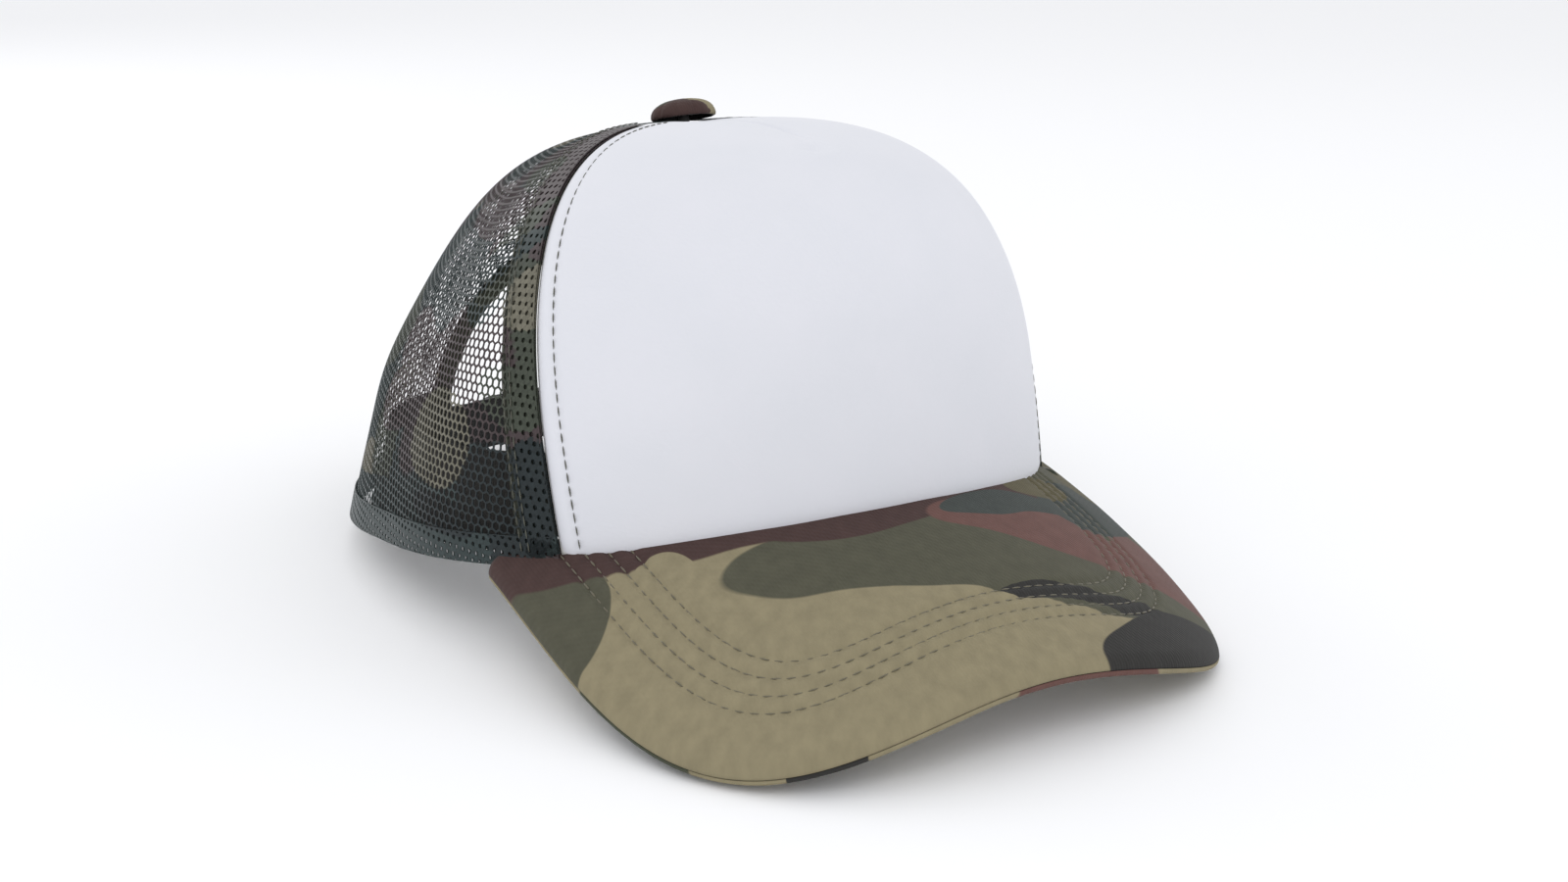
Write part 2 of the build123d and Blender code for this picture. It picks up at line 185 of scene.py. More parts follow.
def crown_powers(bearing):
    """How square the crown's profile is at a bearing, upwards and outwards"""
    front = np.cos(bearing) > 0
    side = np.where(front, np.sin(bearing) ** 2, 1 - np.cos(bearing) ** 4)
    ends = (np.where(front, a, b) for a, b in zip(front_powers, rear_powers))
    return [end * (1 - side) + flank * side for end, flank in zip(ends, side_powers)]


def crown_point(bearing, turn, inset):
    """Point on the crown; a bearing runs from the front round by the wearer's right"""
    up, out = crown_powers(bearing)
    end = np.where(np.cos(bearing) > 0, front_reach + widest_y, rear_reach - widest_y) - inset
    reach = np.cos(turn) ** (2 / out)
    height = np.sin(turn) ** (2 / up)
    x = -(half_width - inset) * np.sin(bearing) * reach
    y = apex_y + (widest_y - end * np.cos(bearing) - apex_y) * reach
    z = crown_root + (crown_height - inset - crown_root) * height
    # The side mesh is slack: it sinks a little high up and swells low down, behind the ear
    from_dent = ((np.abs(bearing) - radians(108)) / radians(19)) ** 2
    dent = 3.0 * MM * np.exp(-from_dent - ((z - 0.072) / 0.019) ** 2)
    swell = 1.6 * MM * np.exp(-from_dent - ((z - 0.040) / 0.014) ** 2)
    give = 1 - (dent - swell) / half_width
    return np.stack([x * give, widest_y + (y - widest_y) * give, z], -1)


nets = {}


def crown_net(inset):
    """Crown points at every bearing and share of the rise from hem plane to button, and rib lengths"""
    if inset not in nets:
        steps = np.linspace(0, 1, turn_steps)
        net, lengths = np.empty((len(bearings), rise_steps, 3)), np.empty(len(bearings))
        for i, bearing in enumerate(bearings):
            up, out = crown_powers(bearing)
            start = asin((-crown_root / (crown_height - inset - crown_root)) ** (float(up) / 2))
            reach = np.hypot(*crown_point(bearing, 0.0, inset)[:2])
            end = acos((button_hole_radius / reach) ** (float(out) / 2))
            ease = 1 - (1 - steps) ** 2 if up > 1.6 else steps
            rib = crown_point(np.full(turn_steps, bearing), start + (end - start) * ease, inset)
            run = np.concatenate([[0], np.cumsum(np.linalg.norm(np.diff(rib, axis=0), axis=1))])
            net[i] = np.stack([np.interp(rises * run[-1], run, rib[:, k]) for k in range(3)], -1)
            lengths[i] = run[-1]
        nets[inset] = net, lengths
    return nets[inset]


def on_crown(bearing, rise, inset=0.0):
    """Points on the crown, in the hem's axes, between the net's own points"""
    net, _ = crown_net(inset)
    step = bearings[1] - bearings[0]
    column = np.clip((np.asarray(bearing) - bearings[0]) / step, 0, len(bearings) - 1.001)
    row = np.clip(np.asarray(rise) * (rise_steps - 1), 0, rise_steps - 1.001)
    i, j = column.astype(int), row.astype(int)
    u, v = (column - i)[..., None], (row - j)[..., None]
    near = net[i, j] * (1 - v) + net[i, j + 1] * v
    far = net[i + 1, j] * (1 - v) + net[i + 1, j + 1] * v
    return near * (1 - u) + far * u


def seam_plane(bearing, tilt):
    """A point and the rearward normal of a seam's plane on the wearer's right"""
    apex = np.array([0.0, apex_y, crown_height])
    down = crown_point(bearing, 0.0, 0.0) - apex
    down /= np.linalg.norm(down)
    across = np.cross(down, (0, 0, 1))
    across /= np.linalg.norm(across)
    return apex, across * cos(tilt) + np.cross(down, across) * sin(tilt)


def seam_line(plane, away, lowest, highest, inset=0.0):
    """Bearing at each rise where the crown lies a distance behind a seam's plane"""
    net, _ = crown_net(inset)
    apex, normal = plane
    span = np.radians(np.arange(lowest, highest, 0.5))
    distance = (on_crown(span[:, None], rises[None, :], inset) - apex) @ normal - away
    line = np.empty(rise_steps)
    for j in range(rise_steps):
        line[j] = np.interp(0.0, distance[:, j], span)
    return line


def brim_middle(x, y):
    """Height of the middle of the brim's thickness over a place in the hem plane"""
    share = np.clip((brim_root_y - y) / (brim_root_y - brim_tip_y), 0, None)
    radius = 1 / (1 / brim_radius + brim_tightening * share)
    root_sag = brim_radius - sqrt(brim_radius ** 2 - brim_root_x ** 2)
    crest = root_sag + (y - brim_root_y) * tan(brim_slope) - brim_droop * share ** 2
    return crest - radius + np.sqrt(radius ** 2 - np.clip(x, -0.09, 0.09) ** 2)


def grid_normals(points):
    """Unit normals of a grid of points"""
    normals = np.cross(np.gradient(points, axis=0), np.gradient(points, axis=1))
    return normals / np.maximum(np.linalg.norm(normals, axis=-1, keepdims=True), 1e-12)


def faces_away(points, towards=None):
    """Whether a grid's faces look away from the middle of the crown, or along a given direction"""
    reference = points - (0, 0.02, 0.02) if towards is None else np.asarray(towards, float)
    return (grid_normals(points) * reference).sum() > 0


def grid_piece(name, points, cloth, material, looped=False, towards=None):
    """Smooth mesh from a grid of points, with its cloth coordinates in metres as a UV map"""
    if not faces_away(points, towards):
        points, cloth = points[:, ::-1], cloth[:, ::-1]
    columns, rows = points.shape[:2]
    last = columns if looped else columns - 1
    faces = [
        (i * rows + j, (i + 1) % columns * rows + j, (i + 1) % columns * rows + j + 1, i * rows + j + 1)
        for i in range(last) for j in range(rows - 1)
    ]
    mesh = bpy.data.meshes.new(name)
    mesh.from_pydata(points.reshape(-1, 3).tolist(), [], faces)
    uv = mesh.uv_layers.new(name="cloth")
    corners = np.empty(len(mesh.loops), int)
    mesh.loops.foreach_get("vertex_index", corners)
    uv.data.foreach_set("uv", np.asarray(cloth, np.float32).reshape(-1, 2)[corners].ravel())
    mesh.polygons.foreach_set("use_smooth", [True] * len(mesh.polygons))
    mesh.materials.append(material)
    piece = bpy.data.objects.new(name, mesh)
    bpy.context.collection.objects.link(piece)
    return piece


def thicken(piece, thickness, offset=-1.0):
    """Give a cloth its thickness"""
    solid = piece.modifiers.new("thickness", "SOLIDIFY")
    solid.thickness = thickness
    solid.offset = offset
    solid.use_even_offset = True


# Brushed polyester jersey: matt white, faintly cool, with a very fine knit and a soft sheen
white_jersey, tree, shader = new_material("white_polyester_jersey")
knit_pitch = 0.9 * MM        # real loops are 0.4 mm, drawn about twice as coarse so that they show
cloth_uv = add_node(tree, "ShaderNodeUVMap", uv_map="cloth")
loops = add_node(tree, "ShaderNodeTexVoronoi", {"Vector": cloth_uv.outputs[0], "Scale": 1 / knit_pitch})
mottle = add_node(
    tree, "ShaderNodeTexNoise", {"Vector": cloth_uv.outputs[0], "Scale": 45.0, "Detail": 4.0}
)
tint = add_node(
    tree, "ShaderNodeMix",
    {0: mottle.outputs["Fac"], 6: linear("#D5D7DD"), 7: linear("#DDDDE3")}, data_type="RGBA",
)
bump = add_node(
    tree, "ShaderNodeBump", {"Height": loops.outputs["Distance"], "Strength": 0.25, "Distance": 0.1 * MM}
)
tree.links.new(tint.outputs[2], shader.inputs["Base Color"])
tree.links.new(bump.outputs[0], shader.inputs["Normal"])
shader.inputs["Roughness"].default_value = 0.85
shader.inputs["Sheen Weight"].default_value = 0.15
shader.inputs["Sheen Roughness"].default_value = 0.5

# Polyurethane foam: matt off-white with open cells, their pits painted darker as shade
panel_foam, tree, shader = new_material("white_polyurethane_foam")
cell_size = 0.8 * MM
place = add_node(tree, "ShaderNodeTexCoord")
cells = add_node(
    tree, "ShaderNodeTexVoronoi", {"Vector": place.outputs["Object"], "Scale": 1 / cell_size}
)
# Painted shade: the colour darkens towards each cell's pit, where the bump sinks
pore_shade_tint = add_node(
    tree, "ShaderNodeMix",
    {0: cells.outputs["Distance"], 6: linear("#C9C8C4"), 7: linear("#E9E8E4")}, data_type="RGBA",
)
bump = add_node(
    tree, "ShaderNodeBump", {"Height": cells.outputs["Distance"], "Strength": 0.5, "Distance": 0.2 * MM}
)
tree.links.new(pore_shade_tint.outputs[2], shader.inputs["Base Color"])
tree.links.new(bump.outputs[0], shader.inputs["Normal"])
shader.inputs["Roughness"].default_value = 0.95

front_plane = seam_plane(front_seam_bearing, front_seam_tilt)
front_line = seam_line(front_plane, -0.15 * MM, 20, 95)
topstitch_inset, topstitch_pitch = 5.2 * MM, 3.0 * MM
dart_end_y = -78.0 * MM
# Depth and reach of each turned edge, groove and swell of the fabric
seam_turn, hem_turn = (1.0 * MM, 1.5 * MM), (0.9 * MM, 1.6 * MM)
topstitch_groove = (0.35 * MM, 0.9 * MM)
seam_ridge_inset, seam_ridge = 3.0 * MM, (0.25 * MM, 1.6 * MM)
dart_crease, dart_hollow = (0.85 * MM, 0.9 * MM), (0.35 * MM, 7 * MM)
# Depth or height, middle and size of the pucker at the dart's end and of the lip ahead of it
pucker = (1.0 * MM, (-1.5 * MM, -79.0 * MM), (3.2 * MM, 2.2 * MM))
pucker_lip = (0.6 * MM, (0.0, -82.0 * MM), (9 * MM, 4 * MM))
pucker_lowest = 50 * MM
slack_height, slack_scale, slack_fade = 0.5 * MM, 28.0, 10 * MM


def front_grid(inset, columns, rows):
    """Grid of the front panel from seam to seam and hem to button, with its rises and where they start"""
    across = np.linspace(-1, 1, columns)
    # Points crowd towards both seams and the hem, where the fabric turns under
    across = 0.6 * across + 0.4 * np.sin(across * pi / 2)
    start = np.zeros(columns)
    for _ in range(3):
        bearing = across * np.interp(start, rises, front_line)
        for i in range(columns):
            rib = on_crown(np.full(rise_steps, bearing[i]), rises, inset)
            height = rib[:, 2] - brim_middle(rib[:, 0], rib[:, 1]) - brim_rise
            start[i] = np.interp(0.1 * MM, height[:120], rises[:120])
    rise = start[:, None] + (1 - start[:, None]) * (np.linspace(0, 1, rows) ** 1.15)[None, :]
    bearing = across[:, None] * np.interp(rise, rises, front_line)
    return on_crown(bearing, rise, inset), rise, start


def bell(distance, height, reach):
    """Bell curve across a distance"""
    return height * np.exp(-(distance / reach) ** 2)


def mound(x, y, height, place, size):
    """Round swell about a place"""
    return height * np.exp(-((x - place[0]) / size[0]) ** 2 - ((y - place[1]) / size[1]) ** 2)


points, rise, start = front_grid(0.0, 181, 150)
_, rib_lengths = crown_net(0.0)
mean_rib = float(np.interp(0.0, bearings, rib_lengths))
on_the_right = points * np.where(points[..., :1] > 0, (-1, 1, 1), 1)
seam_distance = -((on_the_right - front_plane[0]) @ front_plane[1])
hem_distance = (rise - start[:, None]) * mean_rib
relief = -seam_turn[0] * np.exp(-seam_distance / seam_turn[1])
relief -= hem_turn[0] * np.exp(-hem_distance / hem_turn[1])
# The topstitch groove is pulled in a little more at each stitch
stitch_wave = 0.75 + 0.25 * np.cos(hem_distance * 2 * pi / topstitch_pitch)
relief -= stitch_wave * bell(seam_distance - topstitch_inset, *topstitch_groove)
relief += bell(seam_distance - seam_ridge_inset, *seam_ridge)
# Dart: a fine crease that fades out in a shallow pucker
x, y, upper = points[..., 0], points[..., 1], points[..., 2] > pucker_lowest
fade = np.clip(4 * (y - dart_end_y) / (apex_y - dart_end_y), 0, 1)
relief -= fade * (bell(x, *dart_crease) + bell(x, *dart_hollow))
relief += upper * (mound(x, y, *pucker_lip) - mound(x, y, *pucker))
for index in np.ndindex(points.shape[:2]):
    slack = slack_height * noise.noise(Vector(points[index] * slack_scale))
    relief[index] += slack * min(1.0, seam_distance[index] / slack_fade)
points = points + grid_normals(points) * relief[..., None] * (1 if faces_away(points) else -1)
cloth = np.stack([points[..., 0], rise * mean_rib], -1)
front_fabric = grid_piece("front_panel_face", stand(points), cloth, white_jersey)
thicken(front_fabric, 0.5 * MM)
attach(front_fabric, "root")
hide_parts("front_panel_fabric")

foam_points, _, _ = front_grid(0.9 * MM, 91, 70)
foam = grid_piece("front_panel_foam_backing", stand(foam_points), foam_points[..., :2], panel_foam)
thicken(foam, 2.7 * MM)
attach(foam, "root")
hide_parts("front_panel_foam")


# Polyester sewing thread: a little gloss along each stitch, and a fine twist
def thread_material(name, code):
    material, tree, shader = new_material(name)
    place = add_node(tree, "ShaderNodeTexCoord")
    twist = add_node(
        tree, "ShaderNodeTexWave",
        {"Vector": place.outputs["Object"], "Scale": 900.0, "Distortion": 2.0},
        bands_direction="DIAGONAL",
    )
    bump = add_node(
        tree, "ShaderNodeBump", {"Height": twist.outputs["Fac"], "Strength": 0.5, "Distance": 0.05 * MM}
    )
    tree.links.new(bump.outputs[0], shader.inputs["Normal"])
    shader.inputs["Base Color"].default_value = linear(code)
    shader.inputs["Roughness"].default_value = 0.55
    shader.inputs["Sheen Weight"].default_value = 0.2
    return material


def stitch_tree():
    """Geometry Nodes that lay one short thread at even steps along every curve"""
    tree = bpy.data.node_groups.new("stitches", "GeometryNodeTree")
    sockets = {}
    for name, kind, direction in (
        ("Rows", "NodeSocketGeometry", "INPUT"), ("Pitch", "NodeSocketFloat", "INPUT"),
        ("Stitch Length", "NodeSocketFloat", "INPUT"), ("Thread Radius", "NodeSocketFloat", "INPUT"),
        ("Thread", "NodeSocketMaterial", "INPUT"), ("Stitches", "NodeSocketGeometry", "OUTPUT"),
    ):
        sockets[name] = tree.interface.new_socket(name, in_out=direction, socket_type=kind).identifier
    given = add_node(tree, "NodeGroupInput").outputs
    rows = add_node(
        tree, "GeometryNodeResampleCurve",
        {"Curve": given["Rows"], "Length": given["Pitch"]}, mode="LENGTH",
    )
    thread = add_node(tree, "GeometryNodeMeshUVSphere", {"Segments": 6, "Rings": 7, "Radius": 1.0})
    size = add_node(
        tree, "ShaderNodeCombineXYZ",
        {"X": given["Stitch Length"], "Y": given["Thread Radius"], "Z": given["Thread Radius"]},
    )
    shape = add_node(
        tree, "GeometryNodeTransform", {"Geometry": thread.outputs["Mesh"], "Scale": size.outputs[0]}
    )
    along = add_node(tree, "GeometryNodeInputTangent")
    turn = add_node(tree, "FunctionNodeAlignRotationToVector", {"Vector": along.outputs[0]}, axis="X")
    vary = add_node(
        tree, "FunctionNodeRandomValue",
        {0: (0.92, 0.85, 0.85), 1: (1.06, 1.15, 1.15), "Seed": 7}, data_type="FLOAT_VECTOR",
    )
    laid = add_node(
        tree, "GeometryNodeInstanceOnPoints",
        {
            "Points": rows.outputs[0], "Instance": shape.outputs[0],
            "Rotation": turn.outputs[0], "Scale": vary.outputs[0],
        },
    )
    whole = add_node(tree, "GeometryNodeRealizeInstances", {"Geometry": laid.outputs[0]})
    smooth = add_node(tree, "GeometryNodeSetShadeSmooth", {"Geometry": whole.outputs[0]})
    coloured = add_node(
        tree, "GeometryNodeSetMaterial", {"Geometry": smooth.outputs[0], "Material": given["Thread"]}
    )
    add_node(tree, "NodeGroupOutput", {"Stitches": coloured.outputs[0]})
    return tree, sockets


stitch_nodes, stitch_sockets = stitch_tree()


def sew(name, rows, material, pitch=3.0 * MM, length=2.5 * MM, radius=0.17 * MM):
    """Rows of stitches, as one piece"""
    curve = bpy.data.curves.new(name, "CURVE")
    curve.dimensions = "3D"
    for row in rows:
        spline = curve.splines.new("POLY")
        spline.points.add(len(row) - 1)
        spline.points.foreach_set("co", np.c_[row, np.ones(len(row))].ravel())
    source = bpy.data.objects.new(name + "_rows", curve)
    bpy.context.collection.objects.link(source)
    sewing = source.modifiers.new("sewing", "NODES")
    sewing.node_group = stitch_nodes
    for socket, value in (
        ("Pitch", pitch), ("Stitch Length", length / 2), ("Thread Radius", radius), ("Thread", material),
    ):
        sewing[stitch_sockets[socket]] = value
    view = bpy.context.evaluated_depsgraph_get()
    mesh = bpy.data.meshes.new_from_object(source.evaluated_get(view), depsgraph=view)
    bpy.data.objects.remove(source)
    piece = bpy.data.objects.new(name, mesh)
    bpy.context.collection.objects.link(piece)
    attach(piece, "root")


def crown_row(line, lowest, highest, inset, side, count=160):
    """Stitch row up the crown along a line of bearings"""
    rise = np.linspace(lowest, highest, count)
    return stand(on_crown(side * np.interp(rise, rises, line), rise, inset))


dark_thread = thread_material("dark_olive_polyester_thread", "#4A4A3E")
topstitch_line = seam_line(front_plane, -topstitch_inset, 20, 95)
sew(
    "front_panel_topstitch",
    [crown_row(topstitch_line, 0.035, 0.9, 0.0, side) for side in (1, -1)],
    dark_thread,
)


# Mesh panels: knitted polyester net with six-sided holes, printed with a camouflage pattern. The
# edges at the front seams and the hem are folded double, so that there the holes half close.
mesh_row, mesh_column = 1.9 * MM, 2.2 * MM
mesh_lean = 0.16               # how far the rows of holes sink towards the front, for each unit along
lean_rows = 8                  # spare rows below the hem and above the button, to fill the corners
side_seam_bearing = radians(124.0)
side_plane = seam_plane(side_seam_bearing, 0.0)
hem_fold, seam_fold, full_height = 7.0 * MM, 8.5 * MM, 1.0


def printed_cloth(name, base, patches, weave, roughness=0.8, generic=(), wear=(300.0, 0.9, 1.08)):
    """Printed cloth: patches are (colour, x, y, half length, half width, turn) over a base colour

    Generic blots are (colour, scale, seed, threshold); wear is (scale, darkest, lightest).
    """
    wear_scale, darkest, lightest = wear
    patch_edge, blot_edge, drift = 0.012, 0.003, 0.009
    material, tree, shader = new_material(name)
    cloth_uv = add_node(tree, "ShaderNodeUVMap", uv_map="cloth")
    # The print's edges wander: the cloth coordinates are shifted by a low noise before each patch
    wander = add_node(
        tree, "ShaderNodeTexNoise", {"Vector": cloth_uv.outputs[0], "Scale": 28.0, "Detail": 1.0}
    )
    centred = add_node(
        tree, "ShaderNodeVectorMath",
        {0: wander.outputs["Color"], 1: (0.5, 0.5, 0.5)}, operation="SUBTRACT",
    )
    shifted = add_node(
        tree, "ShaderNodeVectorMath", {0: centred.outputs[0], "Scale": drift}, operation="SCALE"
    )
    drifted = add_node(
        tree, "ShaderNodeVectorMath", {0: cloth_uv.outputs[0], 1: shifted.outputs[0]}, operation="ADD"
    )
    flat = add_node(
        tree, "ShaderNodeVectorMath", {0: drifted.outputs[0], 1: (1, 1, 0)}, operation="MULTIPLY"
    )
    colour = linear(base)
    for code, scale, seed, lowest in generic:
        blot = add_node(
            tree, "ShaderNodeTexNoise",
            {"Vector": flat.outputs[0], "W": seed, "Scale": scale, "Detail": 1.0}, noise_dimensions="4D",
        )
        cover = add_node(
            tree, "ShaderNodeMapRange",
            {"Value": blot.outputs["Fac"], "From Min": lowest - blot_edge, "From Max": lowest + blot_edge},
        )
        mix = add_node(
            tree, "ShaderNodeMix", {0: cover.outputs[0], 6: colour, 7: linear(code)}, data_type="RGBA"
        )
        colour = mix.outputs[2]
    for code, x, y, half_length, half_breadth, turn in patches:
        patch = add_node(
            tree, "ShaderNodeMapping",
            {
                "Vector": flat.outputs[0], "Location": (x * MM, y * MM, 0),
                "Rotation": (0, 0, radians(turn)), "Scale": (half_length * MM, half_breadth * MM, 1),
            }, vector_type="TEXTURE",
        )
        reach = add_node(tree, "ShaderNodeVectorMath", {0: patch.outputs[0]}, operation="LENGTH")
        cover = add_node(
            tree, "ShaderNodeMapRange",
            {"Value": reach.outputs["Value"], "From Min": 1 + patch_edge, "From Max": 1 - patch_edge},
        )
        mix = add_node(
            tree, "ShaderNodeMix", {0: cover.outputs[0], 6: colour, 7: linear(code)}, data_type="RGBA"
        )
        colour = mix.outputs[2]
    fade = add_node(
        tree, "ShaderNodeTexNoise", {"Vector": cloth_uv.outputs[0], "Scale": wear_scale, "Detail": 3.0}
    )
    worn = add_node(
        tree, "ShaderNodeMapRange",
        {
            "Value": fade.outputs["Fac"], "From Min": 0.3, "From Max": 0.7,
            "To Min": darkest, "To Max": lightest,
        },
    )
    shade = add_node(
        tree, "ShaderNodeMix",
        {0: 1.0, 6: colour, 7: worn.outputs[0]}, data_type="RGBA", blend_type="MULTIPLY",
    )
    tree.links.new(shade.outputs[2], shader.inputs["Base Color"])
    if weave:
        # Twill: raised diagonal ribs crossed by the weft; a wave of scale 0.314 repeats once a metre
        rib_scale = 0.314
        twill = add_node(
            tree, "ShaderNodeTexWave",
            {
                "Vector": cloth_uv.outputs[0], "Scale": rib_scale / weave, "Distortion": 0.6,
                "Detail": 1.0, "Detail Scale": 3.0,
            },
            bands_direction="DIAGONAL",
        )
        weft = add_node(
            tree, "ShaderNodeTexWave",
            {"Vector": cloth_uv.outputs[0], "Scale": rib_scale / weave, "Distortion": 0.4},
            bands_direction="X",
        )
        threads = add_node(
            tree, "ShaderNodeMath", {0: twill.outputs["Fac"], 1: weft.outputs["Fac"]}, operation="ADD"
        )
        bump = add_node(
            tree, "ShaderNodeBump",
            {"Height": threads.outputs[0], "Strength": 0.35, "Distance": 0.12 * MM},
        )
        tree.links.new(bump.outputs[0], shader.inputs["Normal"])
    shader.inputs["Roughness"].default_value = roughness
    shader.inputs["Specular IOR Level"].default_value = 0.25
    shader.inputs["Sheen Weight"].default_value = 0.04
    shader.inputs["Sheen Roughness"].default_value = 0.5
    return material


khaki, moss, brown, black, pine = "#887F65", "#4E4D3F", "#44322F", "#2D2C2A", "#434638"
net_tan, net_brown, net_moss, net_pine, net_night = "#656255", "#3D3334", "#3A3F35", "#293434", "#1D2527"
# Polyester net, printed: the yarn is smooth and a little shiny, so light catches on the hole edges
printed_net = printed_cloth(
    "printed_polyester_net", net_pine, [
        (net_pine, 0, 6, 80, 9, 0), (net_tan, -24, 27, 15, 11, 8), (net_brown, 6, 36, 14, 9, -20),
        (net_night, -46, 18, 11, 9, -30), (net_tan, -52, 57, 9, 8, 10), (net_brown, -50, 80, 9, 14, 0),
        (net_moss, -52, 36, 12, 6, 15), (net_night, -58, 13, 10, 15, 0),
        (net_night, -30, 10, 14, 4, 10), (net_pine, -28, 66, 22, 5, -25), (net_brown, -10, 84, 20, 8, 15),
    ], 0, roughness=0.42, generic=(
        (net_tan, 20.0, 3.0, 0.60), (net_brown, 18.0, 8.0, 0.50), (net_moss, 22.0, 5.0, 0.55),
    ), wear=(1400.0, 0.72, 1.35),
)


def net_cells(centre, inset, shift, highest):
    """Six-sided cells of the net, laid out flat from a centre bearing and wrapped on the crown"""
    net, lengths = crown_net(inset)
    rib = float(np.interp(centre, bearings, lengths))
    steps = np.linalg.norm(np.diff(net, axis=0), axis=2)
    runs = np.concatenate([np.zeros((1, rise_steps)), np.cumsum(steps, axis=0)])
    middle = np.array([np.interp(centre, bearings, runs[:, j]) for j in range(rise_steps)])
    runs = runs - middle
    lean = mesh_lean if centre > 0 else -mesh_lean
    top = min(highest, rib)
    places, faces, index = [], [], {}
    for j in range(-lean_rows, int(top / mesh_row) + lean_rows):
        for i in range(-50, 51):
            a, b = 2 * i + j % 2, 3 * j
            face = []
            for da, db in ((0, -2), (1, -1), (1, 1), (0, 2), (-1, 1), (-1, -1)):
                key = (a + da, b + db)
                if key not in index:
                    index[key] = len(places)
                    x = (key[0] / 2 + shift) * mesh_column
                    places.append((x, (key[1] / 3 + shift + 0.67) * mesh_row + lean * x))
                face.append(index[key])
            faces.append(face)
    cloth = np.array(places)
    rise = np.clip(cloth[:, 1] / rib, 0, 1)
    row = np.round(rise * (rise_steps - 1)).astype(int)
    bearing = np.empty(len(cloth))
    for level in np.unique(row):
        chosen = row == level
        bearing[chosen] = np.interp(cloth[chosen, 0], runs[:, level], bearings)
    near = np.abs(bearing - centre) < radians(75)
    inside = (cloth[:, 1] > 0) & (cloth[:, 1] < top)
    faces = [face for face in faces if near[face].all() and inside[face].any()]
    points = on_crown(bearing, rise, inset)
    over_brim = points[:, 1] < brim_root_y + 1 * MM
    floor_height = brim_middle(points[:, 0], points[:, 1]) + brim_rise + 0.1 * MM
    points[over_brim, 2] = np.maximum(points[over_brim, 2], floor_height[over_brim])
    cells = bmesh.new()
    for point in stand(points):
        cells.verts.new(point)
    cells.verts.ensure_lookup_table()
    layer = cells.loops.layers.uv.new("cloth")
    for face in faces:
        made = cells.faces.new([cells.verts[v] for v in face])
        for loop, v in zip(made.loops, face):
            loop[layer].uv = cloth[v]
    bmesh.ops.dissolve_degenerate(cells, dist=0.02 * MM, edges=cells.edges)
    bmesh.ops.delete(cells, geom=[v for v in cells.verts if not v.link_faces], context="VERTS")
    return cells


def stand_plane(plane, away, side):
    """A seam's plane, moved back by a distance, on one side of the cap and in the table's axes"""
    place, normal = plane
    place = place + normal * away
    flip = np.array((1 if side > 0 else -1, 1, 1))
    low, high = stand(place * flip), stand((place + normal) * flip)
    return Vector(low), Vector(high - low)


def trim(cells, place, normal):
    """Cut away what lies ahead of a plane's normal"""
    whole = cells.verts[:] + cells.edges[:] + cells.faces[:]
    bmesh.ops.bisect_plane(cells, geom=whole, plane_co=place, plane_no=normal, clear_outer=True)


def trim_above(cells, height):
    """Cut away what lies above a height over the hem plane"""
    low, high = Vector(stand((0, 0, 0))), Vector(stand((0, 0, height)))
    trim(cells, high, high - low)


def net_tree():
    """Geometry Nodes that open a hole in every cell"""
    tree = bpy.data.node_groups.new("net_holes", "GeometryNodeTree")
    sockets = {}
    for name, kind, direction in (
        ("Cells", "NodeSocketGeometry", "INPUT"), ("Opening", "NodeSocketFloat", "INPUT"),
        ("Yarn", "NodeSocketMaterial", "INPUT"), ("Net", "NodeSocketGeometry", "OUTPUT"),
    ):
        sockets[name] = tree.interface.new_socket(name, in_out=direction, socket_type=kind).identifier
    given = add_node(tree, "NodeGroupInput").outputs
    raised = add_node(
        tree, "GeometryNodeExtrudeMesh",
        {"Mesh": given["Cells"], "Offset Scale": 0.0, "Individual": True}, mode="FACES",
    )
    wander = add_node(
        tree, "FunctionNodeRandomValue", {2: -0.05, 3: 0.05, "Seed": 11}, data_type="FLOAT"
    )
    opening = add_node(
        tree, "ShaderNodeMath", {0: given["Opening"], 1: wander.outputs[1]}, operation="ADD"
    )
    scaled = add_node(
        tree, "GeometryNodeScaleElements",
        {
            "Geometry": raised.outputs["Mesh"], "Selection": raised.outputs["Top"],
            "Scale": opening.outputs[0],
        },
        domain="FACE",
    )
    opened = add_node(
        tree, "GeometryNodeDeleteGeometry",
        {"Geometry": scaled.outputs[0], "Selection": raised.outputs["Top"]}, domain="FACE",
    )
    whole = add_node(tree, "GeometryNodeRealizeInstances", {"Geometry": opened.outputs[0]})
    coloured = add_node(
        tree, "GeometryNodeSetMaterial", {"Geometry": whole.outputs[0], "Material": given["Yarn"]}
    )
    add_node(tree, "NodeGroupOutput", {"Net": coloured.outputs[0]})
    return tree, sockets


net_nodes, net_sockets = net_tree()


def open_net(name, cells, opening):
    """Mesh of the finished net"""
    mesh = bpy.data.meshes.new(name)
    cells.to_mesh(mesh)
    cells.free()
    source = bpy.data.objects.new(name, mesh)
    bpy.context.collection.objects.link(source)
    holes = source.modifiers.new("holes", "NODES")
    holes.node_group = net_nodes
    holes[net_sockets["Opening"]] = opening
    holes[net_sockets["Yarn"]] = printed_net
    view = bpy.context.evaluated_depsgraph_get()
    result = bpy.data.meshes.new_from_object(source.evaluated_get(view), depsgraph=view)
    bpy.data.objects.remove(source)
    return result


def net_piece(name, node, layers):
    """One mesh panel from its layers of net, given as (cells, opening)"""
    joined = bmesh.new()
    for cells, opening in layers:
        joined.from_mesh(open_net(name, cells, opening))
    mesh = bpy.data.meshes.new(name)
    joined.to_mesh(mesh)
    joined.free()
    mesh.materials.clear()
    mesh.materials.append(printed_net)
    piece = bpy.data.objects.new(name, mesh)
    bpy.context.collection.objects.link(piece)
    thicken(piece, 0.24 * MM, offset=0.0)
    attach(piece, "root")
    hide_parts(node)


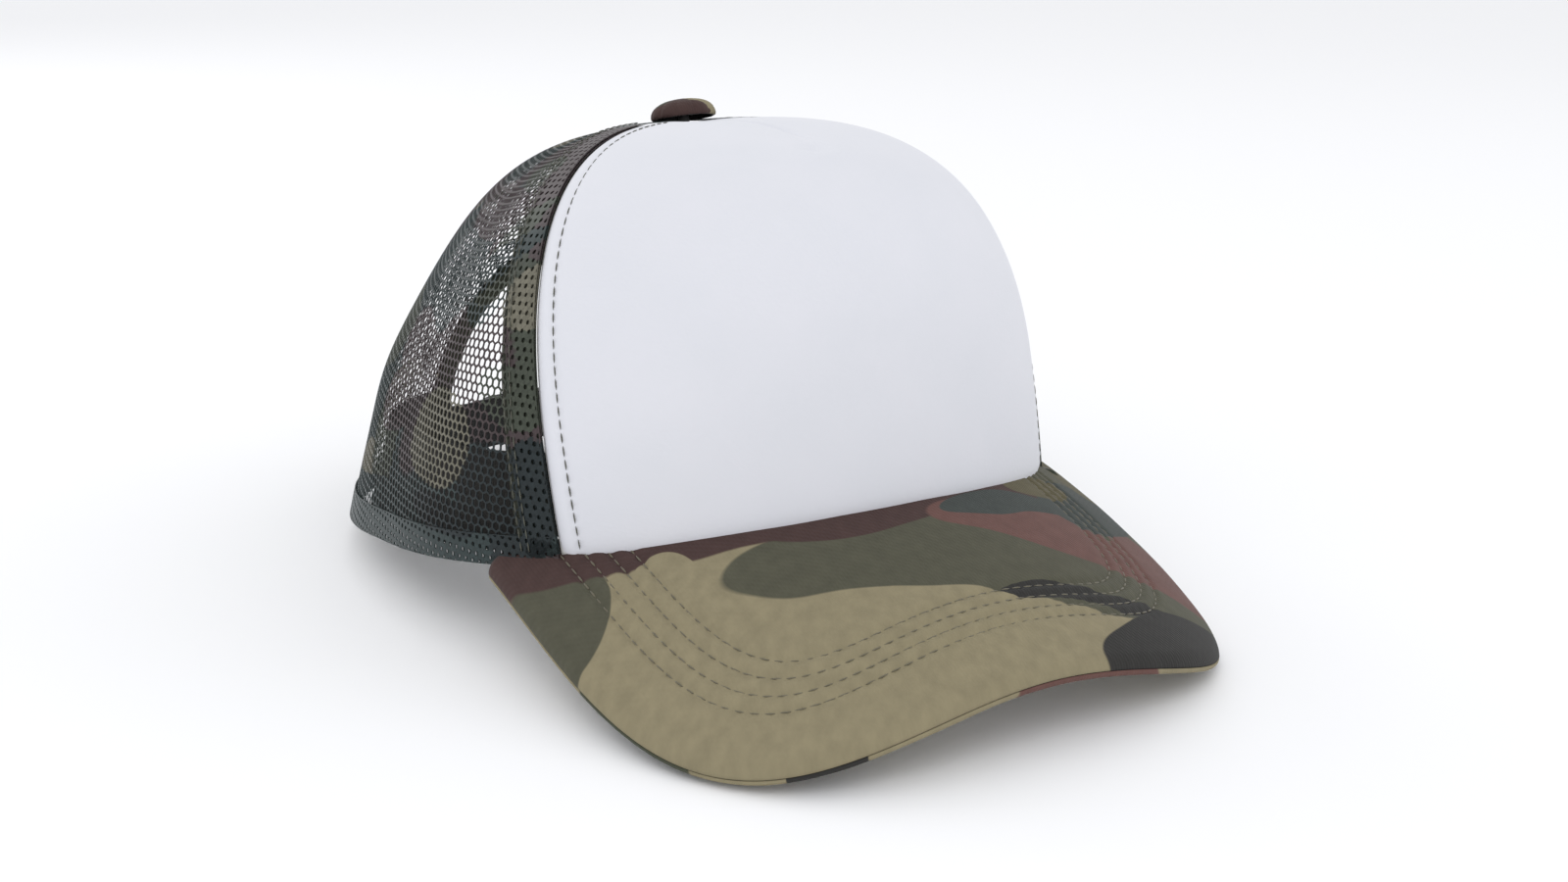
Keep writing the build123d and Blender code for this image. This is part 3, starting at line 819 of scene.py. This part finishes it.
arch_half_width, arch_height = 34.0 * MM, 59.0 * MM
net_inset, fold_inset, fold_shift = 0.45 * MM, -0.15 * MM, 0.3
net_opening, fold_opening = 0.8, 0.46
for word, side in (("right", 1), ("left", -1)):
    layers = []
    for inset, shift, high, opening, beside_seam in (
        (net_inset, 0.0, full_height, net_opening, False),
        (fold_inset, fold_shift, full_height, fold_opening, True),
        (fold_inset, fold_shift, hem_fold, fold_opening, False),
    ):
        cells = net_cells(side * radians(86), inset, shift, high)
        trim_above(cells, high)
        front_cut, front_way = stand_plane(front_plane, 0.15 * MM, side)
        trim(cells, front_cut, -front_way)
        back_cut, back_way = stand_plane(side_plane, -0.15 * MM, side)
        trim(cells, back_cut, back_way)
        if beside_seam:
            fold_cut, fold_way = stand_plane(front_plane, seam_fold, side)
            trim(cells, fold_cut, fold_way)
        layers.append((cells, opening))
    net_piece(f"side_net_{word}", f"side_mesh_panel_{word}", layers)

    layers = []
    for inset, shift, high, opening in (
        (net_inset, 0.0, full_height, net_opening), (fold_inset, fold_shift, hem_fold, fold_opening),
    ):
        cells = net_cells(side * radians(155), inset, shift, high)
        trim_above(cells, high)
        back_cut, back_way = stand_plane(side_plane, 0.15 * MM, side)
        trim(cells, back_cut, -back_way)
        trim(cells, Vector((-side * 0.15 * MM, 0, 0)), Vector((side, 0, 0)))
        in_arch = []
        for face in cells.faces:
            middle = face.calc_center_median()
            lift = (middle.z - stand_lift) * cos(stand_pitch)
            lift += (middle.y - stand_shift) * sin(stand_pitch)
            if (middle.x / (arch_half_width + 1 * MM)) ** 2 + (lift / (arch_height + 1 * MM)) ** 2 < 1:
                in_arch.append(face)
        bmesh.ops.delete(cells, geom=in_arch, context="FACES")
        layers.append((cells, opening))
    net_piece(f"back_net_{word}", f"back_mesh_panel_{word}", layers)

# Twin rows that hold the folded edge down beside each front seam
fold_lines = [seam_line(front_plane, away, 20, 110) for away in (7.4 * MM, 9.4 * MM)]
sew(
    "mesh_fold_stitching",
    [crown_row(line, 0.03, 0.93, -0.45 * MM, side) for line in fold_lines for side in (1, -1)],
    dark_thread,
)


# Seam tapes: dark olive cotton tape sewn flat over each seam's turned edges, inside the crown
tape_width, tape_inset = 11.0 * MM, 1.3 * MM
tape_thickness, tape_crown = 0.45 * MM, 0.25 * MM
strip_length = 130 * MM
tape_cloth = printed_cloth("olive_cotton_tape", "#3E4037", [], 0.9 * MM, roughness=0.9)


def crown_strip(name, node, first_line, last_line, lowest, highest, inset, side, across=9, rows=130):
    """Tape between two lines of bearings, slightly crowned across its width"""
    rise = np.linspace(lowest, highest, rows)[None, :]
    share = np.linspace(0, 1, across)[:, None]
    first, last = (np.interp(rise, rises, line) for line in (first_line, last_line))
    bearing = first + (last - first) * share
    crowned = tape_crown * (1 - (2 * share - 1) ** 2)
    points = on_crown(side * bearing, np.broadcast_to(rise, bearing.shape), inset)
    pull = (points - (0, apex_y, 0)) * (1, 1, 0)
    pull /= np.maximum(np.linalg.norm(pull, axis=-1, keepdims=True), 1e-9)
    points = points - pull * crowned[..., None]
    over_brim = points[..., 1] < brim_root_y
    floor_height = brim_middle(points[..., 0], points[..., 1]) + brim_rise + 0.1 * MM
    points[..., 2] = np.where(over_brim, np.maximum(points[..., 2], floor_height), points[..., 2])
    cloth = np.stack(np.broadcast_arrays(share * tape_width, rise * strip_length), -1)
    piece = grid_piece(name, stand(points), cloth, tape_cloth)
    welded = bmesh.new()
    welded.from_mesh(piece.data)
    bmesh.ops.remove_doubles(welded, verts=welded.verts, dist=1e-6)
    welded.to_mesh(piece.data)
    welded.free()
    thicken(piece, tape_thickness, offset=0.0)
    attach(piece, "root")
    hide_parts(node)


front_tape_lines = [seam_line(front_plane, away, 20, 130) for away in (0.5 * MM, tape_width)]
side_tape_lines = [seam_line(side_plane, away, 85, 175) for away in (-tape_width / 2, tape_width / 2)]
for word, side in (("right", 1), ("left", -1)):
    crown_strip(
        f"front_tape_{word}", f"front_seam_tape_{word}", *front_tape_lines, 0.03, 0.88, tape_inset, side
    )
    crown_strip(
        f"side_tape_{word}", f"side_seam_tape_{word}", *side_tape_lines, 0.005, 0.88, tape_inset, side
    )
back_net, _ = crown_net(tape_inset)
arch_top = arch_height + 7.3 * MM          # just above the opening's binding
back_start = float(np.interp(arch_top, back_net[0][:, 2], rises))
across = np.linspace(-tape_width / 2, tape_width / 2, 9)
back_rows, back_end, back_length = 60, 0.86, 60 * MM
near_back = np.radians(np.linspace(140, 180, 161))
back_points = np.empty((len(across), back_rows, 3))
for j, rise in enumerate(np.linspace(back_start, back_end, back_rows)):
    level = on_crown(near_back, np.full(len(near_back), rise), tape_inset)[::-1]
    back_points[:, j, 0] = across
    for k in (1, 2):
        back_points[:, j, k] = np.interp(np.abs(across), -level[:, 0], level[:, k])
back_run = np.linspace(0, back_length, back_rows)
back_cloth = np.stack(np.broadcast_arrays(across[:, None], back_run[None, :]), -1)
back_tape = grid_piece("back_tape", stand(back_points), back_cloth, tape_cloth)
thicken(back_tape, tape_thickness, offset=0.0)
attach(back_tape, "root")
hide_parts("back_seam_tape")


# Opening binding: a strip of printed twill folded over the raw edge of the rear opening and sewn
# through with one row close to its inner fold.
binding_length, binding_row_inset = 160 * MM, 5.6 * MM
twill_pitch = 0.8 * MM        # real ribs are 0.5 mm apart, drawn coarser so that they show
binding_twill = printed_cloth(
    "printed_twill_binding", moss, [], twill_pitch,
    generic=((pine, 20.0, 1.0, 0.52), (khaki, 24.0, 4.0, 0.62)),
)


def rear_wall(x, z, inset):
    """Points on the rear of the crown over places across the cap and up from the hem plane"""
    turn_span = np.radians(np.linspace(110, 180, 281))
    x, z, inset = np.broadcast_arrays(np.asarray(x, float), z, inset)
    result = np.empty(x.shape + (3,))
    for index in np.ndindex(x.shape):
        up, _ = crown_powers(turn_span)
        level = (z[index] - crown_root) / (crown_height - inset[index] - crown_root)
        ring = crown_point(turn_span, np.arcsin(level ** (up / 2)), inset[index])
        bearing = np.interp(-abs(x[index]), ring[:, 0], turn_span)
        result[index] = x[index], np.interp(bearing, turn_span, ring[:, 1]), z[index]
    return result


# Profile round the fold, in mm: out from the opening's edge, and inwards from the crown's face
fold = [
    (7.0, -0.35), (6.6, -0.6), (5.0, -0.55), (3.0, -0.5), (1.6, -0.35), (0.9, -0.5), (0.2, -0.2),
    (0.0, 0.55), (0.2, 1.2), (0.9, 1.5), (3.0, 1.55), (5.0, 1.6), (6.6, 1.6), (7.0, 1.3),
]
arch_turns = np.linspace(0, pi, 121)
binding_points = np.empty((len(arch_turns), len(fold), 3))
binding_cloth = np.empty((len(arch_turns), len(fold), 2))
for j, (width, inset) in enumerate(fold):
    x = (arch_half_width + width * MM) * np.cos(arch_turns)
    z = np.maximum((arch_height + width * MM) * np.sin(arch_turns), 0.0)
    binding_points[:, j] = rear_wall(x, z, inset * MM)
    binding_cloth[:, j] = np.stack([arch_turns * 0.055, np.full(len(arch_turns), j * 1.3 * MM)], -1)
binding = grid_piece("opening_binding", stand(binding_points), binding_cloth, binding_twill)
thicken(binding, 0.4 * MM, offset=-1.0)
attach(binding, "root")
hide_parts("arch_binding")
binding_row = stand(rear_wall(
    (arch_half_width + binding_row_inset) * np.cos(arch_turns[2:-2]),
    (arch_height + binding_row_inset) * np.sin(arch_turns[2:-2]), -0.6 * MM,
))
sew("binding_stitching", [binding_row], dark_thread, pitch=2.6 * MM, length=2.1 * MM)


# Sweatband: a strip of black cotton twill with a thin soft filling, sewn to the hem all round except
# across the opening, with a row of stitches along its top.
band_inset, band_top, band_end_x = 5.4 * MM, 25.0 * MM, 36.0 * MM
band_bottom, band_height, band_filling = 2.0 * MM, 23.5 * MM, 0.5 * MM
band_cloth = printed_cloth("black_cotton_twill", "#2E2D2B", [], twill_pitch, roughness=0.9)


def level_ring(z, inset, bearing):
    """Points on the crown at one level above the hem plane"""
    up, _ = crown_powers(bearing)
    turn = np.arcsin(((z - crown_root) / (crown_height - inset - crown_root)) ** (up / 2))
    return crown_point(bearing, turn, inset)


band_ring = level_ring(10 * MM, band_inset, bearings)
behind = np.abs(bearings) > radians(100)
behind &= bearings < 0
band_last = float(np.interp(band_end_x, band_ring[behind, 0], np.abs(bearings)[behind]))
band_bearings = np.linspace(-band_last, band_last, 241)
band_rows = np.linspace(0, 1, 17)
bottom = level_ring(band_bottom, band_inset, band_bearings)
under_brim = brim_middle(bottom[:, 0], bottom[:, 1]) + brim_rise + 0.4 * MM
lowest = np.where(bottom[:, 1] < brim_root_y, np.maximum(under_brim, band_bottom), band_bottom)
band_points = np.stack([
    level_ring(
        lowest + (band_top - lowest) * share, band_inset + band_filling * sin(pi * share), band_bearings
    )
    for share in band_rows
], axis=1)
band_uv = np.stack(np.broadcast_arrays(band_bearings[:, None] * 0.09, band_rows[None, :] * 0.024), -1)
sweatband = grid_piece("inner_sweatband", stand(band_points), band_uv, band_cloth)
thicken(sweatband, 0.9 * MM, offset=0.0)
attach(sweatband, "root")
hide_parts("sweatband")
band_row = stand(level_ring(band_top - 2.2 * MM, band_inset + 0.75 * MM, band_bearings))
sew("sweatband_stitching", [band_row], dark_thread, pitch=3.4 * MM, length=2.8 * MM)


# Care label: a blank white woven tape loop, caught in the sweatband's seam at the wearer's left
label_cloth = printed_cloth("white_polyester_satin_label", "#DAD9D5", [], 0.7 * MM, roughness=0.5)
label_bottom, label_rise, label_height = 3.5 * MM, 30 * MM, 30.5 * MM
label_inset, label_curl = 7.0 * MM, 1.2 * MM
label_bearings = np.radians(np.linspace(-108, -92, 17))
label_rows = np.linspace(0, 1, 25)
label_points = np.stack([
    level_ring(
        label_bottom + label_rise * share, label_inset + label_curl * share * sin(3 * share), label_bearings
    )
    for share in label_rows
], axis=1)
label_uv = np.stack(
    np.broadcast_arrays(label_bearings[:, None] * 0.09, label_rows[None, :] * label_rise), -1
)
care_label = grid_piece("blank_care_label", stand(label_points), label_uv, label_cloth)
thicken(care_label, 0.25 * MM, offset=0.0)
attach(care_label, "root")
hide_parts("care_label")


# Brim: a moulded polyethylene board between two faces of printed cotton twill, which meet in a rolled
# seam round the edge. Four rows of stitches follow the edge through all three layers.
brim_half_width, brim_power = 80.8 * MM, 3.24
brim_seam_inset = 4.6 * MM
brim_edge = 0.7 * MM             # the faces' reach beyond the board
roll_radius = 1.7 * MM
# Stitch rows, outermost first: half widths on the wearer's right and left, and y at the tip
row_right, row_left, row_tip, row_power = 69.0, 61.5, -141.5, 4.3
row_spacing_side, row_spacing_tip, row_power_step = 3.85, 2.85, 0.27
brim_columns, brim_rows, roll_rows = 300, 92, 6
# Cloth between the stitch rows, the grooves that they pull in it, and the ripple beside each
brim_stitch_pitch, brim_swell = 3.1 * MM, 0.5 * MM
brim_groove, brim_ripple, ripple_offset = (0.8 * MM, 0.85 * MM), (0.07 * MM, 1.0 * MM), 1.6 * MM
brim_slack, brim_slack_scale = 0.22 * MM, 60


def superellipse(turn, right, left, length, power, root=brim_root_y):
    """Points round a brim-shaped outline; a turn of 0 is at the wearer's left and pi at the right"""
    width = np.where(np.cos(turn) > 0, left, right)
    x = np.sign(np.cos(turn)) * width * np.abs(np.cos(turn)) ** (2 / power)
    return np.stack([x, root - length * np.abs(np.sin(turn)) ** (2 / power)], -1)


def even(points, count):
    """Points spaced evenly along a line"""
    run = np.concatenate([[0], np.cumsum(np.linalg.norm(np.diff(points, axis=0), axis=1))])
    places = np.linspace(0, run[-1], count)
    return np.stack([np.interp(places, run, points[:, k]) for k in range(points.shape[1])], -1)


turns = (pi / 2 * (1 - np.cos(np.linspace(0, pi, 4000))))[::-1]


def brim_outline(extra):
    width, length = brim_half_width + extra, brim_root_y - brim_tip_y + extra
    return even(superellipse(turns, width, width, length, brim_power), brim_columns)


inner_ring = level_ring(4.0 * MM, brim_seam_inset, bearings)
ahead = (inner_ring[:, 1] < brim_root_y) & (np.abs(bearings) < pi / 2)
inner_edge = even(inner_ring[ahead][::-1, :2], brim_columns)
inner_edge[0, 1] = inner_edge[-1, 1] = brim_root_y
outer_edge = brim_outline(brim_edge - roll_radius)
roll_turns = np.linspace(0, pi / 2, roll_rows + 1)[1:]
rolled_edges = [brim_outline(brim_edge - roll_radius * (1 - sin(turn))) for turn in roll_turns]
stitch_rows = []
for i in range(4):
    stitch_rows.append((
        (row_right - i * row_spacing_side) * MM, (row_left - i * row_spacing_side) * MM,
        brim_root_y - (row_tip + i * row_spacing_tip) * MM, row_power + i * row_power_step,
    ))


def row_distance(x, y, right, left, length, power):
    """Signed distance from a stitch row, in the hem plane"""
    width = np.where(x > 0, left, right)
    a, b = np.abs(x) / width, np.maximum(brim_root_y - y, 1e-6) / length
    level = np.maximum((a ** power + b ** power) ** (1 / power), 1e-6)
    slope = np.hypot(
        level ** (1 - power) * a ** (power - 1) / width, level ** (1 - power) * b ** (power - 1) / length
    )
    return (level - 1) / np.maximum(slope, 1e-6)


def brim_relief(x, y, along):
    """Puckered grooves along the stitch rows, and the soft swell of the cloth between them"""
    relief = brim_swell * np.ones_like(x)
    for row, size in enumerate(stitch_rows):
        distance = row_distance(x, y, *size)
        wave = np.cos(along * 2 * pi / brim_stitch_pitch + row * 1.7)
        relief -= (0.8 + 0.2 * wave) * bell(distance, *brim_groove)
        relief += wave * bell(distance - ripple_offset, *brim_ripple)
    return relief


def brim_face(name, node, way, material):
    """One face of the brim, way is 1 for the top and -1 for the underside"""
    share = (np.linspace(0, 1, brim_rows) ** 0.92)[None, :, None]
    plan = inner_edge[:, None] + (outer_edge - inner_edge)[:, None] * share
    plan = np.concatenate([plan] + [edge[:, None] for edge in rolled_edges], axis=1)
    x, y = plan[..., 0], plan[..., 1]
    run = np.concatenate([[0], np.cumsum(np.linalg.norm(np.diff(outer_edge, axis=0), axis=1))])
    relief = brim_relief(x, y, run[:, None] * (0.72 + 0.28 * share[0, :, 0].mean()))
    for index in np.ndindex(relief.shape):
        spot = Vector((x[index] * brim_slack_scale, y[index] * brim_slack_scale, 3.0 * way))
        relief[index] += brim_slack * noise.noise(spot)
    rise = np.concatenate([
        np.full(brim_rows, brim_rise), brim_rise - roll_radius + roll_radius * np.cos(roll_turns)
    ])[None, :]
    keep = np.concatenate([np.ones(brim_rows), np.cos(roll_turns)])[None, :]
    height = brim_middle(x, y) + way * (rise + relief * keep)
    points = stand(np.stack([x, y, height], -1))
    piece = grid_piece(name, points, plan, material, towards=(0, 0, way))
    thicken(piece, 0.35 * MM)
    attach(piece, "root")
    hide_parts(node)


# Cotton twill, printed: matt, with a fine diagonal rib and soft print edges
maroon, olive_brown, slate = "#644741", "#57513B", "#3C413E"
top_twill = printed_cloth("printed_cotton_twill_top", khaki, [
    (moss, 78, -95, 42, 50, 0), (moss, 8, -121, 58, 12.5, -16), (moss, -81, -83, 15, 15, -20),
    (brown, -45, -72, 48, 22, -33), (brown, -5, -98, 30, 11, 0), (brown, 35, -98, 30, 9, 15),
    (khaki, -58, -98, 9.5, 10.5, 0), (khaki, -62, -108, 12, 12, 0), (maroon, 45, -116, 42, 9, -12),
    (maroon, 74, -114, 18, 15, 0), (slate, 30, -105, 22, 4.5, 5), (slate, 64, -93, 24, 10, 35),
    (olive_brown, 50, -92, 14, 5, 25), (olive_brown, 80, -68, 14, 8, 60),
    (black, 19, -133.5, 15, 2.4, -2), (black, 39, -136.5, 12, 2.6, -10), (black, 47, -146, 31, 10, 14),
], twill_pitch)
under_twill = printed_cloth("printed_cotton_twill_under", khaki, [
    (black, -52, -146, 14, 7, 30), (maroon, 12, -150, 22, 7, 5), (moss, 20, -112, 40, 16, 20),
    (brown, -40, -90, 30, 12, -30), (pine, 58, -80, 26, 14, 50), (pine, -72, -110, 12, 16, 0),
    (black, 60, -128, 16, 8, -40),
], twill_pitch)
brim_face("brim_top_face", "brim_top_fabric", 1, top_twill)
brim_face("brim_under_face", "brim_under_fabric", -1, under_twill)

olive_thread = thread_material("olive_polyester_thread", "#625C49")
for name, way in (("brim_stitching_top", 1), ("brim_stitching_under", -1)):
    rows = []
    for right, left, length, power in stitch_rows:
        line = even(superellipse(turns, right, left, length, power), 400)
        crown_edge = level_ring(6 * MM, 0.6 * MM, bearings[np.abs(bearings) < pi / 2])
        edge_y = np.interp(line[:, 0], crown_edge[::-1, 0], crown_edge[::-1, 1])
        line = line[line[:, 1] < edge_y]
        height = brim_middle(line[:, 0], line[:, 1]) + way * (brim_rise - 0.12 * MM)
        rows.append(stand(np.c_[line, height]))
    sew(
        name, rows, olive_thread,
        pitch=brim_stitch_pitch, length=2.6 * MM, radius=0.2 * MM,
    )

# High-density polyethylene board, moulded: hidden in the brim, semi-matt black with a light grain
board_plastic, tree, shader = new_material("moulded_polyethylene")
place = add_node(tree, "ShaderNodeTexCoord")
grain = add_node(tree, "ShaderNodeTexNoise", {"Vector": place.outputs["Object"], "Scale": 1500.0})
bump = add_node(
    tree, "ShaderNodeBump", {"Height": grain.outputs["Fac"], "Strength": 0.3, "Distance": 0.05 * MM}
)
tree.links.new(bump.outputs[0], shader.inputs["Normal"])
shader.inputs["Base Color"].default_value = linear("#26262A")
shader.inputs["Roughness"].default_value = 0.5


def dress(node, material):
    """Give a CAD node its finish"""
    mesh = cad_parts[node].data
    mesh.materials.clear()
    mesh.materials.append(material)


dress("brim_board", board_plastic)


# Button: a pressed steel cap covered in the printed twill, gathered in small pleats round its edge,
# and riveted through the crown to a painted steel disc.
button_radius, button_rise, button_lift = 8.5 * MM, 5.0 * MM, 0.7 * MM
button_tilt = stand_pitch + radians(6.0)
button_place = stand([0.0, apex_y, crown_height + button_lift])
button_pleats, button_blank = 11, 22 * MM
button_twill = printed_cloth("printed_cotton_twill_button", brown, [
    (pine, -3, 3, 5, 3.4, 30), (khaki, 4, -4, 5, 3, -20), (moss, 5, 4, 3.6, 2.6, 60),
], twill_pitch * 0.8)
button_turns = np.linspace(0, 2 * pi, 177)[:-1]
# Profile from the crest to the tuck under the edge, as shares of radius and rise
button_profile = [
    (0.02, 1.0), (0.15, 0.993), (0.3, 0.97), (0.45, 0.93), (0.58, 0.875), (0.7, 0.8), (0.8, 0.71),
    (0.88, 0.6), (0.945, 0.46), (0.985, 0.3), (1.0, 0.14), (0.985, 0.03), (0.93, 0.0),
]
button_points = np.empty((len(button_turns), len(button_profile), 3))
for j, (reach, rise) in enumerate(button_profile):
    pleat = np.abs(np.sin(button_turns * button_pleats / 2)) ** 0.6 - 0.6
    radius = button_radius * reach * (1 + 0.035 * pleat * reach ** 3)
    lift = button_rise * rise + 0.35 * MM * pleat * reach ** 2 * (rise > 0.01)
    button_points[:, j, 0] = radius * np.cos(button_turns)
    button_points[:, j, 1] = radius * np.sin(button_turns)
    button_points[:, j, 2] = lift
button_uv = button_points[..., :2].copy()
lean = np.array(Matrix.Rotation(-button_tilt, 3, "X"))
button_points = button_points @ lean.T + button_place
button_cap = grid_piece("covered_button", button_points, button_uv, button_twill, looped=True)
cap = bmesh.new()
cap.from_mesh(button_cap.data)
crest_point = Vector(button_place) + Vector((0, sin(button_tilt), cos(button_tilt))) * button_rise
crest = [v for v in cap.verts if (v.co - crest_point).length < 0.06 * button_radius]
crest_face = cap.faces.new(crest)
crest_face.smooth = True
bmesh.ops.recalc_face_normals(cap, faces=cap.faces)
cap.to_mesh(button_cap.data)
cap.free()
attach(button_cap, "root")
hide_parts("button_cover")

# Painted pressed steel: dark, smooth, with slight waviness from the press
button_steel, tree, shader = new_material("painted_pressed_steel")
place = add_node(tree, "ShaderNodeTexCoord")
press = add_node(tree, "ShaderNodeTexNoise", {"Vector": place.outputs["Object"], "Scale": 400.0})
bump = add_node(
    tree, "ShaderNodeBump", {"Height": press.outputs["Fac"], "Strength": 0.25, "Distance": 0.08 * MM}
)
tree.links.new(bump.outputs[0], shader.inputs["Normal"])
shader.inputs["Base Color"].default_value = linear("#3B3B3A")
shader.inputs["Metallic"].default_value = 0.6
shader.inputs["Roughness"].default_value = 0.35
dress("button_shell", button_steel)
dress("button_back", button_steel)


# Snap closure: two moulded straps, one with holes and one with studs, each sewn into the hem beside
# the opening and bending there. They overlap across the opening and press together.
strap_bottom, strap_height, strap_thickness = 3.4 * MM, 15.5 * MM, 1.2 * MM
strap_inset, stud_strap_inset = 2.9 * MM, 4.5 * MM
strap_reach, tab_end_x, hinge_x = 21.5 * MM, 47.0 * MM, 29.5 * MM
snap_count, snap_pitch, snap_hole_radius = 7, 7.4 * MM, 2.8 * MM
corner_radius, edge_radius, bend_half = 4.0 * MM, 0.15 * MM, 2 * MM
# Stud, in mm: radius at each height over the strap's face, with its foot sunk a little into it
stud_profile = [(1.9, 0.0), (1.6, 0.25), (1.5, 1.2), (1.52, 1.9), (1.75, 2.2), (1.7, 2.7), (1.25, 3.0)]
stud_sides, stud_sink = 20, 0.1 * MM
strap_level = strap_bottom + strap_height / 2 - stand_lift + rear_reach * sin(stand_pitch)

# Moulded polyethylene: black, semi-matt, faint mould grain and a soft edge highlight
strap_plastic, tree, shader = new_material("moulded_black_polyethylene_strap")
place = add_node(tree, "ShaderNodeTexCoord")
grain = add_node(tree, "ShaderNodeTexNoise", {"Vector": place.outputs["Object"], "Scale": 1800.0})
bump = add_node(
    tree, "ShaderNodeBump", {"Height": grain.outputs["Fac"], "Strength": 0.25, "Distance": 0.04 * MM}
)
rub = add_node(
    tree, "ShaderNodeTexNoise", {"Vector": place.outputs["Object"], "Scale": 90.0, "Detail": 4.0}
)
gloss = add_node(
    tree, "ShaderNodeMapRange", {"Value": rub.outputs["Fac"], "To Min": 0.32, "To Max": 0.52}
)
tree.links.new(bump.outputs[0], shader.inputs["Normal"])
tree.links.new(gloss.outputs[0], shader.inputs["Roughness"])
shader.inputs["Base Color"].default_value = linear("#232322")


def strap_path(x, inset):
    """Points and outward directions along a strap, seen from above"""
    rear = np.radians(np.linspace(120, 240, 481))
    wrapped = np.where(rear > pi, rear - 2 * pi, rear)
    inset = np.asarray(inset, float)
    outline = stand(level_ring(strap_level, strap_inset, wrapped))
    step = np.gradient(outline[:, :2], axis=0)
    step /= np.linalg.norm(step, axis=1, keepdims=True)
    out = np.stack([step[:, 1], -step[:, 0]], -1)
    if out[240, 1] < 0:
        out = -out
    at = np.stack([np.interp(x, outline[:, 0], outline[:, 1]), np.interp(x, outline[:, 0], out[:, 0]),
                   np.interp(x, outline[:, 0], out[:, 1])], -1)
    centre = np.stack([x, at[:, 0]], -1)
    return centre - at[:, 1:] * (inset - strap_inset)[:, None], at[:, 1:]


snap_places = [snap_pitch * (i - 2.5) for i in range(snap_count)]
for word, side in (("hole", 1), ("stud", -1)):
    # Flat blank with its holes, then thickness and a small edge radius, then bent along the hem
    blank = bpy.data.curves.new(f"{word}_blank", "CURVE")
    blank.dimensions = "2D"
    blank.fill_mode = "BOTH"
    blank.extrude = strap_thickness / 2 - edge_radius
    blank.bevel_depth = edge_radius
    blank.bevel_resolution = 1
    blank.offset = -edge_radius
    half = strap_height / 2
    outline = [(tab_end_x, -half), (tab_end_x, half)]
    for start_turn, corner_y in ((pi / 2, half - corner_radius), (pi, corner_radius - half)):
        for turn in start_turn + np.linspace(0, pi / 2, 9):
            outline.append((
                corner_radius - strap_reach + corner_radius * cos(turn), corner_y + corner_radius * sin(turn)
            ))
    loops = [outline]
    if word == "hole":
        ring = np.linspace(0, 2 * pi, 25)[:-1]
        for x in snap_places:
            loops.append([(x + snap_hole_radius * cos(t), snap_hole_radius * sin(t)) for t in ring])
    for loop in loops:
        spline = blank.splines.new("POLY")
        spline.points.add(len(loop) - 1)
        corners = np.c_[np.array(loop), np.zeros(len(loop)), np.ones(len(loop))]
        spline.points.foreach_set("co", corners.ravel())
        spline.use_cyclic_u = True
    flat = bpy.data.objects.new(f"{word}_blank", blank)
    bpy.context.collection.objects.link(flat)
    view = bpy.context.evaluated_depsgraph_get()
    mesh = bpy.data.meshes.new_from_object(flat.evaluated_get(view), depsgraph=view)
    bpy.data.objects.remove(flat)
    strap = bmesh.new()
    strap.from_mesh(mesh)
    bmesh.ops.remove_doubles(strap, verts=strap.verts, dist=0.01 * MM)
    for x in np.arange(-strap_reach + 1 * MM, tab_end_x, 1.5 * MM):
        whole = strap.verts[:] + strap.edges[:] + strap.faces[:]
        bmesh.ops.bisect_plane(strap, geom=whole, plane_co=(x, 0, 0), plane_no=(1, 0, 0))
    if word == "stud":
        # Rivet-shaped studs: a shank and a slightly wider rounded head
        for x in snap_places:
            rings = []
            for reach, height in stud_profile:
                level = strap_thickness / 2 + height * MM - stud_sink
                rings.append([
                    strap.verts.new((x + reach * MM * cos(t), reach * MM * sin(t), level))
                    for t in np.linspace(0, 2 * pi, stud_sides + 1)[:-1]
                ])
            for low, high in zip(rings, rings[1:]):
                for k in range(stud_sides):
                    after = (k + 1) % stud_sides
                    strap.faces.new((low[k], low[after], high[after], high[k]))
            strap.faces.new(rings[-1])
    bmesh.ops.recalc_face_normals(strap, faces=strap.faces)
    strap.to_mesh(mesh)
    strap.free()
    co = np.empty(len(mesh.vertices) * 3)
    mesh.vertices.foreach_get("co", co)
    co = co.reshape(-1, 3)
    x = side * co[:, 0]
    # The stud strap steps inwards at its bend, to lie behind the hole strap
    ease = np.clip((hinge_x + bend_half - co[:, 0]) / (2 * bend_half), 0, 1)
    ease = ease * ease * (3 - 2 * ease)
    inset = strap_inset + (stud_strap_inset - strap_inset) * ease * (word == "stud")
    centre, out = strap_path(x, inset)
    depth = co[:, 2] - strap_thickness / 2
    bent = np.c_[centre + out * depth[:, None], co[:, 1] + strap_bottom + half]
    mesh.vertices.foreach_set("co", bent.ravel())
    turned = bmesh.new()
    turned.from_mesh(mesh)
    bmesh.ops.recalc_face_normals(turned, faces=turned.faces)
    turned.to_mesh(mesh)
    turned.free()
    mesh.materials.clear()
    mesh.materials.append(strap_plastic)
    piece = bpy.data.objects.new(f"{word}_snap_strap", mesh)
    bpy.context.collection.objects.link(piece)
    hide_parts(f"{word}_strap", f"{word}_strap_end")
    y = float(strap_path(np.array([side * hinge_x]), np.array([strap_inset]))[0][0, 1])
    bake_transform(piece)
